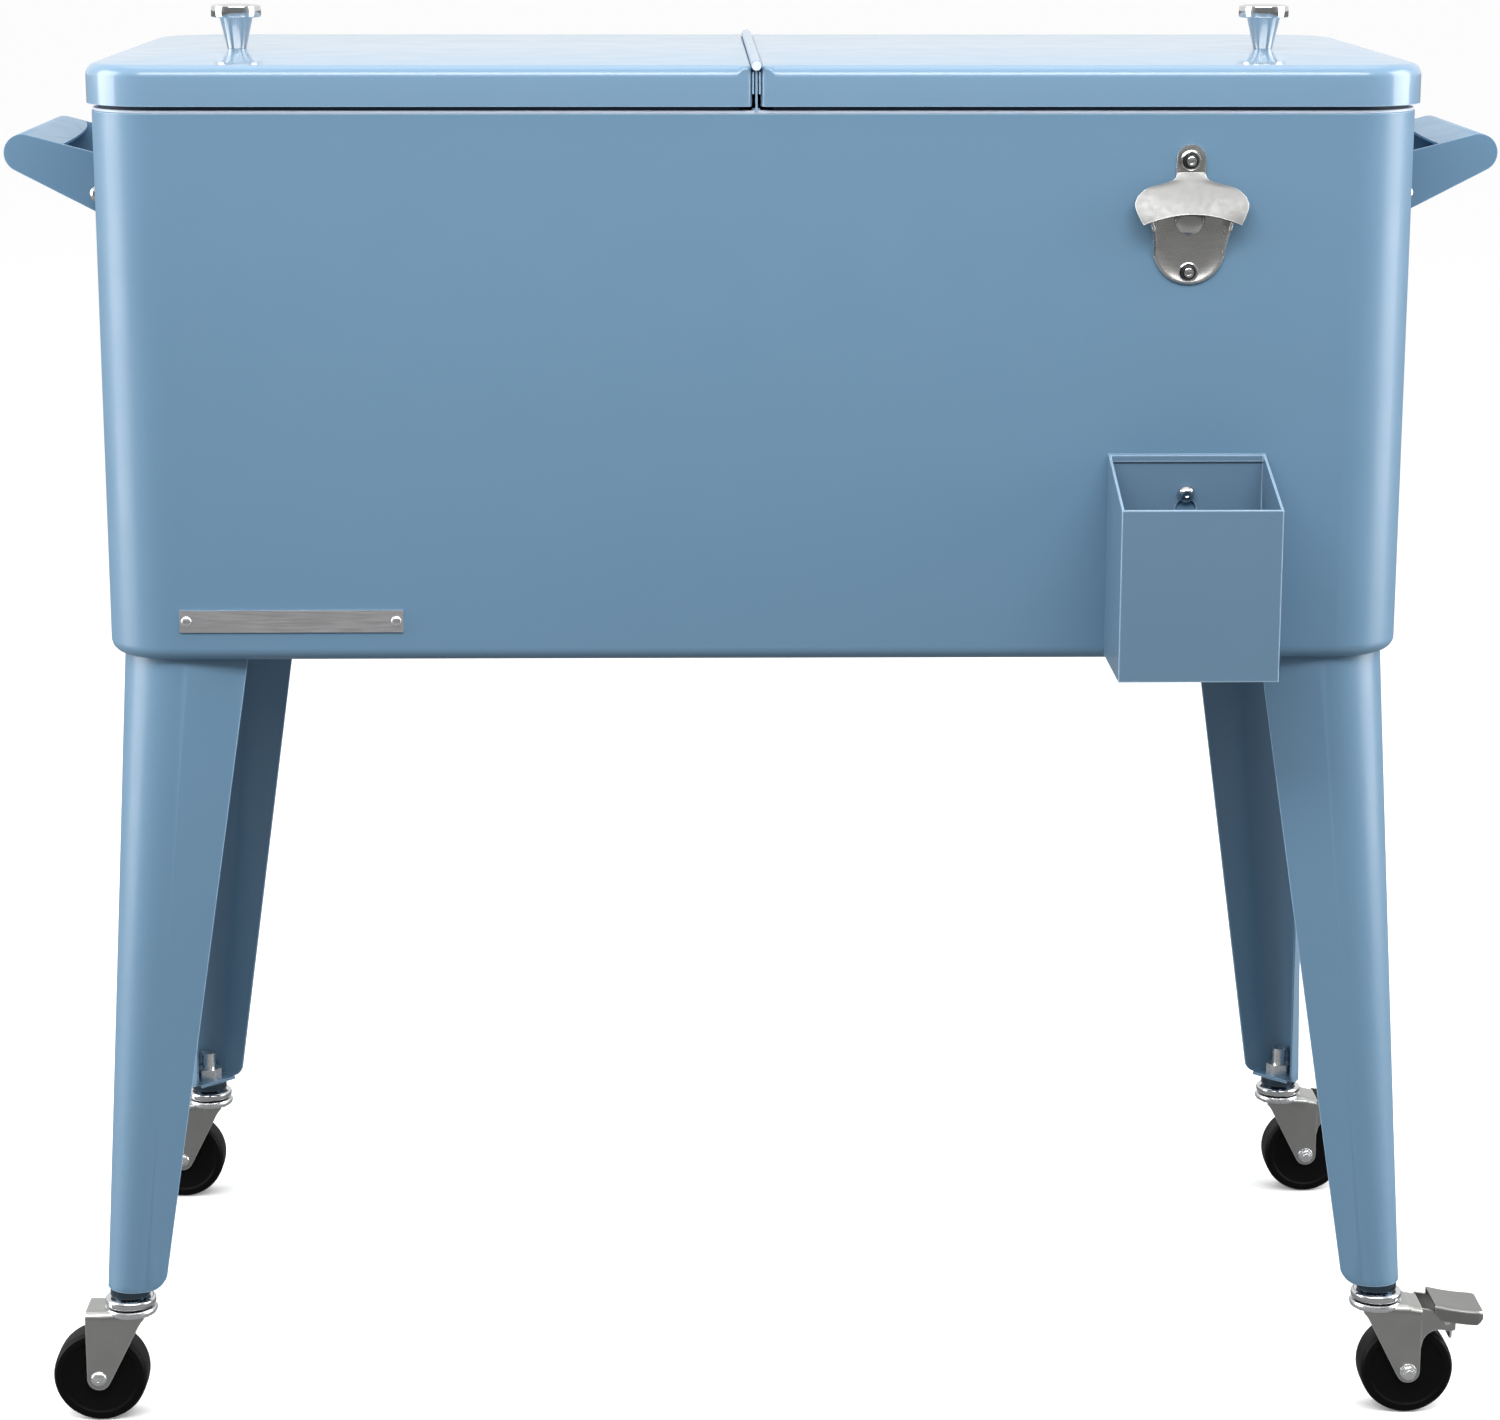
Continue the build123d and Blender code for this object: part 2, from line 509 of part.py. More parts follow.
def brake_lever():
    """Foot pedal, neck and shoe in one bent lever on its own pivot pin."""
    half, sheet, x, z = FORK_INNER - 1.0, FORK_SHEET, PIVOT_X, PIVOT_Z
    pedal_low = CROWN_TOP + 7.4
    pedal = Polyline((x - 10, pedal_low + 2.8), (x + 22, pedal_low - 2.2), (x + 22.5, pedal_low - 4.8),
                     (x - 8, pedal_low), (x - 10, pedal_low + 2.8))
    neck = Polyline((x - 4, pedal_low + 0.6), (x + 3, pedal_low - 0.4), (x + 4.5, z), (x + 1, z - 6),
                    (x - 2.4, z - 10.2), (x - 4.4, z - 9.6), (x - 4.5, z + 6), (x - 4, pedal_low + 0.6))
    hollow = Polyline((x - 8, pedal_low - 1.4), (x + 6, pedal_low - 3.4), (x + 8, z - 3),
                      (x - 1, z - 3), (x - 1, z + 8), (x - 8, pedal_low - 1.4))
    lever = extrude(facing_front(half) * make_face(pedal), 2 * half)
    lever += extrude(facing_front(half) * make_face(neck), 2 * half)
    lever -= extrude(facing_front(half - sheet) * make_face(hollow), 2 * (half - sheet))
    pin = FORK_INNER + FORK_SHEET + 1
    return lever + rod(x, -pin, z, PIVOT_R - RUN_GAP, 2 * pin, (0, 1, 0))


def place_caster(solid, side, end):
    """Casters trail outwards: right-hand ones as drawn, left-hand ones turned half round."""
    turned = solid if side > 0 else Rot(0, 0, 180) * solid
    return Pos(side * SWIVEL_X, end * SWIVEL_Y, 0) * turned


# ---------------------------------------------------------------- fittings

def handle_side_outline():
    """Side plate, drawn for the right-hand handle in X and Z."""
    top_slope = math.atan2(GRIP_Z + GRIP_R - HANDLE_TOP_Z, GRIP_X - SHELL_X)
    low_slope = math.atan2(GRIP_Z - GRIP_R - HANDLE_LOW_Z, GRIP_X - SHELL_X)
    high = (GRIP_X - GRIP_R * math.sin(top_slope), GRIP_Z + GRIP_R * math.cos(top_slope))
    low = (GRIP_X + GRIP_R * math.sin(low_slope), GRIP_Z - GRIP_R * math.cos(low_slope))
    edges = [Line((SHELL_X, HANDLE_TOP_Z), high),
             ThreePointArc(high, (GRIP_X + GRIP_R, GRIP_Z), low),
             Line(low, (SHELL_X, HANDLE_LOW_Z)),
             Line((SHELL_X, HANDLE_LOW_Z), (SHELL_X, HANDLE_TOP_Z))]
    return make_face(edges)


def hand_hole():
    """Plan of the hole between chest and grip. The flap beside it narrows along a quarter ellipse."""
    inner = HANDLE_Y - HANDLE_SHEET
    far = GRIP_X - FLAP_NARROW
    hole = Pos((SHELL_X + far) / 2, 0) * Rectangle(far - SHELL_X, 2 * inner)
    return hole - Pos(far, -inner) * Ellipse(FLAP_TAPER, 2 * inner)


def handle():
    """Right-hand handle: side plates, half-round grip with an inward flap, bolted flanges."""
    outline = handle_side_outline()
    inner = HANDLE_Y - HANDLE_SHEET
    whole = extrude(facing_front(HANDLE_Y) * outline, 2 * HANDLE_Y)
    whole -= extrude(facing_front(inner) * offset(outline, -HANDLE_SHEET), 2 * inner)
    whole -= extrude(Pos(0, 0, GRIP_Z - GRIP_R) * hand_hole(), 4 * GRIP_R)
    under = Pos((SHELL_X + GRIP_X) / 2, 0, GRIP_Z - 4 * GRIP_R)
    whole -= under * Box(GRIP_X - SHELL_X, 2 * inner, 6 * GRIP_R)
    whole -= Pos(SHELL_X, 0, GRIP_Z - GRIP_R) * Box(2 * HANDLE_SHEET + 1, 2 * inner, 8 * GRIP_R)
    height = HANDLE_TOP_Z - HANDLE_LOW_Z
    for end in (-1, 1):
        middle = end * (HANDLE_Y + FLANGE / 2 - HANDLE_SHEET / 2)
        flange = Pos(SHELL_X + HANDLE_SHEET / 2, middle, HANDLE_LOW_Z + height / 2) * Box(
            HANDLE_SHEET, FLANGE + HANDLE_SHEET, height)
        far_edges = flange.edges().filter_by(Axis.X).group_by(Axis.Y)[-1 if end > 0 else 0]
        whole += fillet(far_edges, 8)
        whole -= rod(SHELL_X - 1, end * BOLT_Y, BOLT_Z, BOLT_R + 0.1, 6, (1, 0, 0))
    return whole


def handle_bolts():
    bolts = []
    for side in (-1, 1):
        for end in (-1, 1):
            seat = side * (SHELL_X + HANDLE_SHEET)
            head = rod(seat, end * BOLT_Y, BOLT_Z, CAP_NUT_R, CAP_NUT, (side, 0, 0))
            outer_edge = head.edges().filter_by(GeomType.CIRCLE).sort_by(Axis.X)
            head = fillet(outer_edge[-1] if side > 0 else outer_edge[0], CAP_NUT_R - 1)
            bolts.append(head + rod(seat, end * BOLT_Y, BOLT_Z, BOLT_R, 14, (-side, 0, 0)))
    return Compound(children=bolts)


def opener_plate():
    """Back plate: a round tab above a larger round plate, joined by straight-sided necks."""
    waist = (HOOD_TOP + HOOD_ARCH) / 2
    plate = Pos(OPENER_X, OPENER_TAB_Z) * Circle(OPENER_TAB_R)
    plate += Pos(OPENER_X, (OPENER_TAB_Z + HOOD_ARCH) / 2) * Rectangle(2 * OPENER_TAB_R,
                                                                     OPENER_TAB_Z - HOOD_ARCH)
    plate += Pos(OPENER_X, OPENER_PLATE_Z) * Circle(OPENER_PLATE_R)
    height = waist - 8 - OPENER_PLATE_Z
    return plate + Pos(OPENER_X, OPENER_PLATE_Z + height / 2) * Rectangle(2 * OPENER_PLATE_R, height)


def hood_outline():
    """Front view of the hood: a neck, two round shoulders and an arched lower edge."""
    neck, corner, shoulder, foot = OPENER_TAB_R, OPENER_HALF, OPENER_HALF - 11, OPENER_HALF - 6
    shoulder_z = (HOOD_SHOULDER + HOOD_CORNER) / 2 + 1

    def at(side, u, z):
        return (OPENER_X + side * u, z)

    edges = [Line(at(-1, neck, HOOD_TOP), at(1, neck, HOOD_TOP)),
             ThreePointArc(at(-1, foot, HOOD_LOW), at(1, 0, HOOD_ARCH), at(1, foot, HOOD_LOW))]
    for side in (-1, 1):
        edges += [Line(at(side, neck, HOOD_TOP), at(side, neck, HOOD_SHOULDER)),
                  ThreePointArc(at(side, neck, HOOD_SHOULDER), at(side, neck + 5, HOOD_SHOULDER - 4.5),
                                at(side, shoulder, shoulder_z)),
                  ThreePointArc(at(side, shoulder, shoulder_z), at(side, corner, HOOD_CORNER),
                                at(side, foot, HOOD_LOW))]
    return make_face(edges)


def hood_lean():
    """Side view of the hood's sheet, in Y and Z, leaning out from the plate to its lip."""
    lip, sheet = HOOD_REACH, OPENER_SHEET + 0.4
    low = HOOD_LOW - 1.5
    return make_face(Polyline((FRONT - 0.2, HOOD_TOP), (FRONT - OPENER_SHEET, HOOD_TOP),
                              (FRONT - lip + 2.5, HOOD_CORNER - 1), (FRONT - lip, low),
                              (FRONT - lip + sheet, low), (FRONT - lip + 2 * sheet, HOOD_CORNER - 2),
                              (FRONT - 0.2, HOOD_SHOULDER), (FRONT - 0.2, HOOD_TOP)))


def hood_web():
    """Side wall that ties the hood to the plate, in Y and Z."""
    inside = HOOD_REACH - 2
    return make_face(Polyline((FRONT - 1, HOOD_TOP - 10), (FRONT - 5, HOOD_TOP - 10),
                              (FRONT - inside + 1.5, HOOD_CORNER - 3), (FRONT - inside, HOOD_LOW + 1.5),
                              (FRONT - 1, HOOD_LOW - 6.5), (FRONT - 1, HOOD_TOP - 10)))


def bottle_opener():
    """Wall opener: a keyhole-shaped back plate and a hood that leans out over it."""
    body = extrude(facing_front(FRONT) * opener_plate(), OPENER_SHEET)
    hood = extrude(facing_front(FRONT) * hood_outline(), HOOD_REACH + 5)
    body += hood & extrude(Plane.YZ.offset(OPENER_X - OPENER_HALF) * hood_lean(), 2 * OPENER_HALF)
    for side in (-1, 1):
        middle = OPENER_X + side * (OPENER_PLATE_R - 2)
        body += extrude(Plane.YZ.offset(middle - OPENER_SHEET / 2) * hood_web(), OPENER_SHEET)
    for z, recess in zip(OPENER_SCREW_Z, (OPENER_SCREW_HEAD + 0.6, SCREW_R + 0.1)):
        body -= rod(OPENER_X, FRONT - 9, z, recess, 9 - OPENER_SHEET, (0, 1, 0))
        body -= rod(OPENER_X, FRONT - 9, z, SCREW_R + 0.1, 12, (0, 1, 0))
    return body


def front_screw(x, z, seat, head_r, head_height):
    """Domed screw with a hex socket, driven back into the chest's front wall."""
    head = rod(x, seat, z, head_r, head_height, (0, -1, 0))
    head = fillet(head.edges().group_by(Axis.Y)[0], head_height * 0.6)
    socket = Plane(origin=(x, seat - head_height, z), z_dir=(0, 1, 0)) * RegularPolygon(
        head_r * 0.45, 6, major_radius=False)
    shank = rod(x, seat, z, SCREW_R, SCREW_DEPTH + FRONT - seat + 0.5, (0, 1, 0))
    return head - extrude(socket, head_height * 0.6) + shank


def opener_screws():
    return Compound(children=[front_screw(OPENER_X, z, FRONT - OPENER_SHEET, OPENER_SCREW_HEAD, 3.0)
                              for z in OPENER_SCREW_Z])


def name_plate():
    plate = RectangleRounded(PLATE_LENGTH, PLATE_HEIGHT, 0.8)
    for side in (-1, 1):
        plate -= Pos(side * RIVET_X, 0) * Circle(SCREW_R + 0.1)
    return extrude(facing_front(FRONT) * Pos(PLATE_X, PLATE_Z) * plate, PLATE_SHEET)


def name_plate_rivets():
    rivets = []
    for side in (-1, 1):
        x, seat = PLATE_X + side * RIVET_X, FRONT - PLATE_SHEET
        head = fillet(rod(x, seat, PLATE_Z, 3.3, 1.4, (0, -1, 0)).edges().group_by(Axis.Y)[0], 1.1)
        rivets.append(head + rod(x, seat, PLATE_Z, SCREW_R, 8, (0, 1, 0)))
    return Compound(children=rivets)


def cap_box():
    """Open-topped bottle-cap box, hung by a keyhole in its back. The back's top edge is hemmed."""
    t, back, front = BOX_SHEET, FRONT - BOX_GAP, FRONT - BOX_GAP - BOX_DEPTH
    side_view = Polyline((back, BOX_BOTTOM), (front, BOX_BOTTOM), (front, BOX_FRONT_TOP),
                         (back, BOX_BACK_TOP), (back, BOX_BOTTOM))
    whole = extrude(Plane.YZ.offset(BOX_X - BOX_HALF) * make_face(side_view), 2 * BOX_HALF)
    hem_low, above = BOX_BACK_TOP - BOX_HEM, BOX_BACK_TOP + 5
    room = Polyline((back - t, BOX_BOTTOM + t), (front + t, BOX_BOTTOM + t), (front + t, above),
                    (back - 2 * t, above), (back - 2 * t, hem_low), (back - t, hem_low),
                    (back - t, BOX_BOTTOM + t))
    whole -= extrude(Plane.YZ.offset(BOX_X - BOX_HALF + t) * make_face(room), 2 * (BOX_HALF - t))
    slot = 2 * SCREW_R + 0.4
    keyhole = Pos(BOX_X, BOX_SCREW_Z - KEYHOLE_DROP) * Circle(KEYHOLE_R)
    keyhole += Pos(BOX_X, BOX_SCREW_Z - KEYHOLE_DROP / 2) * Rectangle(slot, KEYHOLE_DROP)
    keyhole += Pos(BOX_X, BOX_SCREW_Z) * Circle(slot / 2)
    return whole - extrude(facing_front(back + 1) * keyhole, 1 + 2 * t)


def cap_box_screw():
    return front_screw(BOX_X, BOX_SCREW_Z, FRONT - BOX_SHEET - 0.6, 5.1, 4.4)


# ---------------------------------------------------------------- drain

def drain_spout():
    """Threaded tube through the back wall with a flange against the shell."""
    inside = LINER_Y - LINER_WALL - 6
    tube = rod(DRAIN_X, inside, DRAIN_Z, DRAIN_R, SHELL_Y + 14 - inside, (0, 1, 0))
    tube += rod(DRAIN_X, SHELL_Y + 2, DRAIN_Z, 17, 2.5, (0, 1, 0))
    return tube - rod(DRAIN_X, inside - 1, DRAIN_Z, DRAIN_BORE, 60, (0, 1, 0))


def drain_seal():
    ring = rod(DRAIN_X, SHELL_Y, DRAIN_Z, 16, 2, (0, 1, 0))
    return ring - rod(DRAIN_X, SHELL_Y - 1, DRAIN_Z, DRAIN_R + 0.1, 4, (0, 1, 0))


def drain_nut():
    face = LINER_Y - LINER_WALL
    nut = extrude(Plane(origin=(DRAIN_X, face, DRAIN_Z), z_dir=(0, -1, 0)) *
                  RegularPolygon(15, 6, major_radius=False), 5)
    return nut - rod(DRAIN_X, face + 1, DRAIN_Z, DRAIN_R + 0.05, 8, (0, -1, 0))


def drain_cap():
    start = SHELL_Y + 5
    cap = rod(DRAIN_X, start, DRAIN_Z, 15, 13, (0, 1, 0))
    cap = fillet(cap.edges().group_by(Axis.Y)[-1], 2)
    for i in range(6):
        angle = math.radians(60 * i)
        cap -= rod(DRAIN_X + 16.6 * math.cos(angle), start - 1, DRAIN_Z + 16.6 * math.sin(angle),
                   4, 20, (0, 1, 0))
    return cap - rod(DRAIN_X, start - 1, DRAIN_Z, DRAIN_R + RUN_GAP, 11, (0, 1, 0))


# ---------------------------------------------------------------- all parts

def all_parts():
    parts = {
        "outer_shell": outer_shell(), "insulation": insulation(), "liner": liner(),
        "centre_bar": centre_bar(), "hinge_web": hinge_web(), "hinge_pin": hinge_pin(),
        "leg_screws": leg_screws(), "handle_right": handle(), "handle_left": other_side(handle()),
        "handle_bolts": handle_bolts(), "bottle_opener": bottle_opener(),
        "opener_screws": opener_screws(), "name_plate": name_plate(),
        "name_plate_rivets": name_plate_rivets(), "cap_box": cap_box(),
        "cap_box_screw": cap_box_screw(), "caster_stems": at_each_swivel(caster_stem()),
        "stem_nuts": at_each_swivel(stem_nut()), "stem_collars": at_each_swivel(stem_collar()),
        "upper_raceways": at_each_swivel(upper_raceway()), "drain_spout": drain_spout(),
        "drain_seal": drain_seal(), "drain_nut": drain_nut(), "drain_cap": drain_cap(),
    }
    lid_pieces = {"lid_skin": lid_skin, "lid_foam": lid_foam, "lid_pan": lid_pan, "lid_seal": lid_seal,
                  "lid_knob": lid_knob, "knob_screw": knob_screw, "leaf_rivets": leaf_rivets}
    for name, make in lid_pieces.items():
        piece = make()
        parts[name + "_right"], parts[name + "_left"] = piece, other_side(piece)
    parts["hinge_leaf_right"], parts["hinge_leaf_left"] = hinge_leaf(2), other_side(hinge_leaf(1))
    rear_right_leg = leg()
    front_right_leg = mirror(rear_right_leg, Plane.XZ)
    parts["leg_rear_right"], parts["leg_rear_left"] = rear_right_leg, other_side(rear_right_leg)
    parts["leg_front_right"], parts["leg_front_left"] = front_right_leg, other_side(front_right_leg)
    corners = {"front_left": (-1, -1), "front_right": (1, -1), "rear_left": (-1, 1), "rear_right": (1, 1)}
    for corner, (side, end) in corners.items():
        braked = side > 0
        parts["fork_" + corner] = place_caster(fork(braked), side, end)
        parts["axle_" + corner] = place_caster(axle(), side, end)
        parts["wheel_" + corner] = place_caster(wheel(), side, end)
        if braked:
            parts["brake_lever_" + corner] = place_caster(brake_lever(), side, end)
    return parts


def in_frame(shape):
    """A node's solids, shifted from the chest's centre line into the frame."""
    solids = [Pos(0, CHEST_Y, 0) * solid for solid in shape.solids()]
    return solids[0] if len(solids) == 1 else Compound(children=solids)


os.makedirs("parts", exist_ok=True)
for node, shape in all_parts().items():
    export_step(in_frame(shape), os.path.join("parts", node + ".step"))
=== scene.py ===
"""Looks for the rolling drinks cooler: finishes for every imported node, finer meshes for the fittings,
a pale floor, soft studio light and the camera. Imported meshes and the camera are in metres. The pieces
made here are drawn in millimetres, each from its own node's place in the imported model."""
import json
import math

import bmesh
import bpy
from mathutils import Euler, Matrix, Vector


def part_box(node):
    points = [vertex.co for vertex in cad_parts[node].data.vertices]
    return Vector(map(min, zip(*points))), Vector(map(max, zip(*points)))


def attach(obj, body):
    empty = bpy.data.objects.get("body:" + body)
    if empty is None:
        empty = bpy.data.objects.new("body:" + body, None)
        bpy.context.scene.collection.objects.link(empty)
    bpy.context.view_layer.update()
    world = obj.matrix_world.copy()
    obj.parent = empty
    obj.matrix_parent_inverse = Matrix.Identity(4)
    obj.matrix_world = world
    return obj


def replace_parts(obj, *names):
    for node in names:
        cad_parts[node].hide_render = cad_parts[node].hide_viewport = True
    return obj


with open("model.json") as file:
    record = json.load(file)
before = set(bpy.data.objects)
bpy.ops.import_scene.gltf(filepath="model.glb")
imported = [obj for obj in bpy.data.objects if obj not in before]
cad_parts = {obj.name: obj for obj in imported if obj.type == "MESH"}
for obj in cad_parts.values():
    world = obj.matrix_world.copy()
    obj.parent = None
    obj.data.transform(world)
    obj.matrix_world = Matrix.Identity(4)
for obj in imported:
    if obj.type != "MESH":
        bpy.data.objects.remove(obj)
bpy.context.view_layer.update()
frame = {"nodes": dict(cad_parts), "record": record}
MM = 0.001
CORNERS = {"front_left": -1, "front_right": 1, "rear_left": -1, "rear_right": 1}  # side of each caster
BODY_OF = {node: body for body, nodes in frame["record"]["behaviour"]["bodies"].items() for node in nodes}
SLOT_OF = {part["node"]: part["material_slot"] for part in frame["record"]["subparts"]}


def middle(node):
    low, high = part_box(node)
    return (low + high) / 2


CHEST = middle("outer_shell")
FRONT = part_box("outer_shell")[0].y / MM


# ---------------------------------------------------------------- materials

class Shader:
    """A node material: a Principled shader plus small helpers that wire nodes into it."""

    def __init__(self, name, colour, metallic=0.0, roughness=0.5, coat=0.0, specular=0.5):
        self.material = bpy.data.materials.new(name)
        self.material.use_nodes = True
        self.tree = self.material.node_tree
        self.surface = self.tree.nodes["Principled BSDF"]
        self.colour = (*colour, 1.0)
        self.set("Base Color", self.colour)
        self.set("Metallic", metallic)
        self.set("Roughness", roughness)
        self.set("Coat Weight", coat)
        self.set("Coat Roughness", 0.05)
        self.set("Specular IOR Level", specular)
        self.place = self.tree.nodes.new("ShaderNodeTexCoord").outputs["Object"]

    def set(self, socket, value):
        self.surface.inputs[socket].default_value = value

    def node(self, kind, inputs=None, **settings):
        node = self.tree.nodes.new(kind)
        for key, value in settings.items():
            setattr(node, key, value)
        for key, value in (inputs or {}).items():
            if isinstance(value, bpy.types.NodeSocket):
                self.tree.links.new(value, node.inputs[key])
            else:
                node.inputs[key].default_value = value
        return node

    def noise(self, scale, detail=3.0, stretch=(1, 1, 1)):
        """Noise over the object, with the given number of features per metre."""
        mapped = self.node("ShaderNodeMapping", {"Vector": self.place, "Scale": stretch})
        inputs = {"Vector": mapped.outputs[0], "Scale": scale, "Detail": detail}
        return self.node("ShaderNodeTexNoise", inputs).outputs["Fac"]

    def ramp(self, value, low, high):
        """The value, running from low to high."""
        made = self.node("ShaderNodeMapRange", {"Value": value, "From Min": 0.3, "From Max": 0.7,
                                                "To Min": low, "To Max": high})
        return made.outputs[0]

    def edges(self, radius):
        """1 on outer edges and 0 elsewhere, from the bend of the surface's shading. Edges are painted paler
        here, partly as wear and partly as a painted highlight.
        """
        bevel = self.node("ShaderNodeBevel", {"Radius": radius}, samples=4)
        geometry = self.node("ShaderNodeNewGeometry")
        turn = self.node("ShaderNodeVectorMath", {0: bevel.outputs[0], 1: geometry.outputs["Normal"]},
                         operation="DOT_PRODUCT")
        return self.node("ShaderNodeMapRange", {"Value": turn.outputs["Value"], "From Min": 0.995,
                                                "From Max": 0.9, "To Min": 0.0, "To Max": 1.0}).outputs[0]

    def vary_colour(self, value, amount, edge_wear_and_highlight=None, edge_wear_and_highlight_colour=None):
        """Lighter and darker patches of the base colour, and a second, paler colour on the edge mask: partly
        wear, partly a painted highlight.
        """
        shade = self.ramp(value, 1 - amount, 1 + amount)
        mixed = self.node("ShaderNodeVectorMath", {0: self.colour[:3]}, operation="SCALE")
        self.tree.links.new(shade, mixed.inputs["Scale"])
        colour = mixed.outputs[0]
        if edge_wear_and_highlight is not None:
            blend = self.node("ShaderNodeMix", {0: edge_wear_and_highlight}, data_type="RGBA")
            self.tree.links.new(colour, blend.inputs[6])
            blend.inputs[7].default_value = (*edge_wear_and_highlight_colour, 1)
            colour = blend.outputs[2]
        self.tree.links.new(colour, self.surface.inputs["Base Color"])

    def vary_roughness(self, value, low, high):
        self.tree.links.new(self.ramp(value, low, high), self.surface.inputs["Roughness"])

    def bump(self, value, height):
        made = self.node("ShaderNodeBump", {"Height": value, "Strength": 1.0, "Distance": height})
        self.tree.links.new(made.outputs[0], self.surface.inputs["Normal"])


def powder_coat(name, colour, edge_width=0.0009, paler=0.17, gloss=0.0):
    """Powder coat: faint orange peel, slow drifts of tone, thinner and paler over edges; the paler edges are
    partly wear and partly a painted highlight.
    """
    paint = Shader(name, colour, coat=0.15 + gloss)
    paint.set("Coat Roughness", 0.2 - 0.35 * gloss)
    # Edge colour: partly worn coat, partly a painted highlight along the edges.
    pale = tuple(min(c * 1.7 + paler, 0.85) for c in colour)
    paint.vary_colour(paint.noise(3.0, 2), 0.012, paint.edges(edge_width), pale)
    paint.vary_roughness(paint.noise(30.0, 2), 0.38 - 0.25 * gloss, 0.45 - 0.25 * gloss)
    paint.bump(paint.noise(420.0, 1), 0.000012)
    return paint.material


def bright_metal(name, colour, low, high, grain=(1, 1, 1), scale=300.0, tone=0.03, dent=0.00001):
    """Bare or plated metal, with its grain stretched along the axes that have small factors."""
    metal = Shader(name, colour, metallic=1.0)
    # Paler edge colour: partly wear, partly a painted highlight along the edges.
    pale = tuple(min(c * 1.6 + 0.1, 0.92) for c in colour)
    metal.vary_colour(metal.noise(60.0, 3), tone, metal.edges(0.0010), pale)
    metal.vary_roughness(metal.noise(scale, 4, grain), low, high)
    metal.bump(metal.noise(scale * 2, 3, grain), dent)
    return metal.material


def moulded(name, colour, low, high, grain_scale=500.0, dent=0.00002, tone=0.03, specular=0.5):
    """Moulded plastic or rubber with a fine even texture."""
    plastic = Shader(name, colour, specular=specular)
    plastic.vary_colour(plastic.noise(25.0, 4), tone)
    plastic.vary_roughness(plastic.noise(90.0, 3), low, high)
    plastic.bump(plastic.noise(grain_scale, 3), dent)
    return plastic.material


def rigid_foam(name, colour):
    """Foam with open cells."""
    foam = Shader(name, colour, roughness=0.9)
    cells = foam.node("ShaderNodeTexVoronoi", {"Vector": foam.place, "Scale": 450.0}).outputs["Distance"]
    foam.vary_colour(cells, 0.12)
    foam.bump(cells, 0.0004)
    return foam.material


FINE_GRAIN, FINE_DENT = 500.0, 0.000003  # brushed metal: features per metre, and depth in metres
FINISHES = {
    "body_paint": powder_coat("body_paint", (0.122, 0.229, 0.341)),
    # Same paint as the body, given a lighter colour: painted light for the lids' stronger light from above.
    "lid_paint": powder_coat("lid_paint", (0.150, 0.262, 0.382), gloss=0.4),
    "liner_plastic": moulded("liner_plastic", (0.54, 0.61, 0.71), 0.3, 0.42),
    "foam": rigid_foam("foam", (0.79, 0.68, 0.40)),
    "seal_rubber": moulded("seal_rubber", (0.035, 0.055, 0.085), 0.6, 0.8),
    "chrome": bright_metal("chrome", (0.62, 0.63, 0.64), 0.05, 0.12, scale=80.0, tone=0.01, dent=0.000002),
    "zinc_steel": bright_metal("zinc_steel", (0.74, 0.75, 0.76), 0.22, 0.36),
    "fork_steel": bright_metal("fork_steel", (0.41, 0.415, 0.40), 0.28, 0.31, (1, 1, 0.12), FINE_GRAIN,
                               dent=FINE_DENT),
    "dark_collar": bright_metal("dark_collar", (0.06, 0.09, 0.12), 0.15, 0.3),
    "stainless": bright_metal("stainless", (0.62, 0.615, 0.60), 0.26, 0.29, (0.12, 1, 1), FINE_GRAIN,
                              dent=FINE_DENT),
    "plate_metal": bright_metal("plate_metal", (0.74, 0.73, 0.745), 0.3, 0.45, (0.05, 1, 1), 900.0),
    "wheel_black": moulded("wheel_black", (0.0025, 0.0025, 0.003), 0.42, 0.55, 900.0, specular=0.1),
    "drain_plastic": moulded("drain_plastic", (0.72, 0.74, 0.74), 0.35, 0.5),
}
# Finishes for single pieces, where one differs from the rest of its slot.
# The cap box's paint: darker than the body's, with wider, paler edges as a painted highlight along its sheet
# edges.
CAP_BOX_PAINT_EDGE_HIGHLIGHT = powder_coat("cap_box_paint_edge_highlight", (0.116, 0.203, 0.296), edge_width=0.0013, paler=0.3)
PIN_END = moulded("pin_end", (0.66, 0.70, 0.78), 0.3, 0.4)
# Black rings round the opener's screw heads: painted shade for the dark steep sides of the heads.
SCREW_RING_SHADE = moulded("screw_ring_painted_shade", (0.008, 0.008, 0.009), 0.25, 0.4)
HOOD_STEEL = bright_metal("hood_steel", (0.205, 0.205, 0.202), 0.4, 0.5, dent=0.000002)
PEDAL_GREY = bright_metal("pedal_grey", (0.27, 0.27, 0.26), 0.34, 0.4, (0.15, 1, 1), FINE_GRAIN)
OWN_FINISH = {"cap_box": CAP_BOX_PAINT_EDGE_HIGHLIGHT, "hinge_pin": PIN_END}


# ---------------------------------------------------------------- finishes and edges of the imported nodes

SOFT_EDGES = {"cap_box": 0.35, "handle_left": 0.4, "handle_right": 0.4, "name_plate": 0.25, "liner": 0.4,
              "drain_nut": 0.4}
SOFT_EDGES.update({"leg_" + corner: 0.35 for corner in CORNERS})


def soften(obj, width_mm, angle=35):
    """Small round edges, so that free edges catch the light."""
    weld = obj.modifiers.new("weld", "WELD")
    weld.merge_threshold = 0.01 * MM
    bevel = obj.modifiers.new("bevel", "BEVEL")
    bevel.width = width_mm * MM
    bevel.segments = 2
    bevel.limit_method = "ANGLE"
    bevel.angle_limit = math.radians(angle)
    bevel.harden_normals = True


def dress_packed_nodes():
    for name, obj in frame["nodes"].items():
        obj.data.materials.clear()
        obj.data.materials.append(OWN_FINISH.get(name, FINISHES[SLOT_OF[name]]))
        if name in SOFT_EDGES:
            soften(obj, SOFT_EDGES[name])


# ---------------------------------------------------------------- mesh tools, all in millimetres

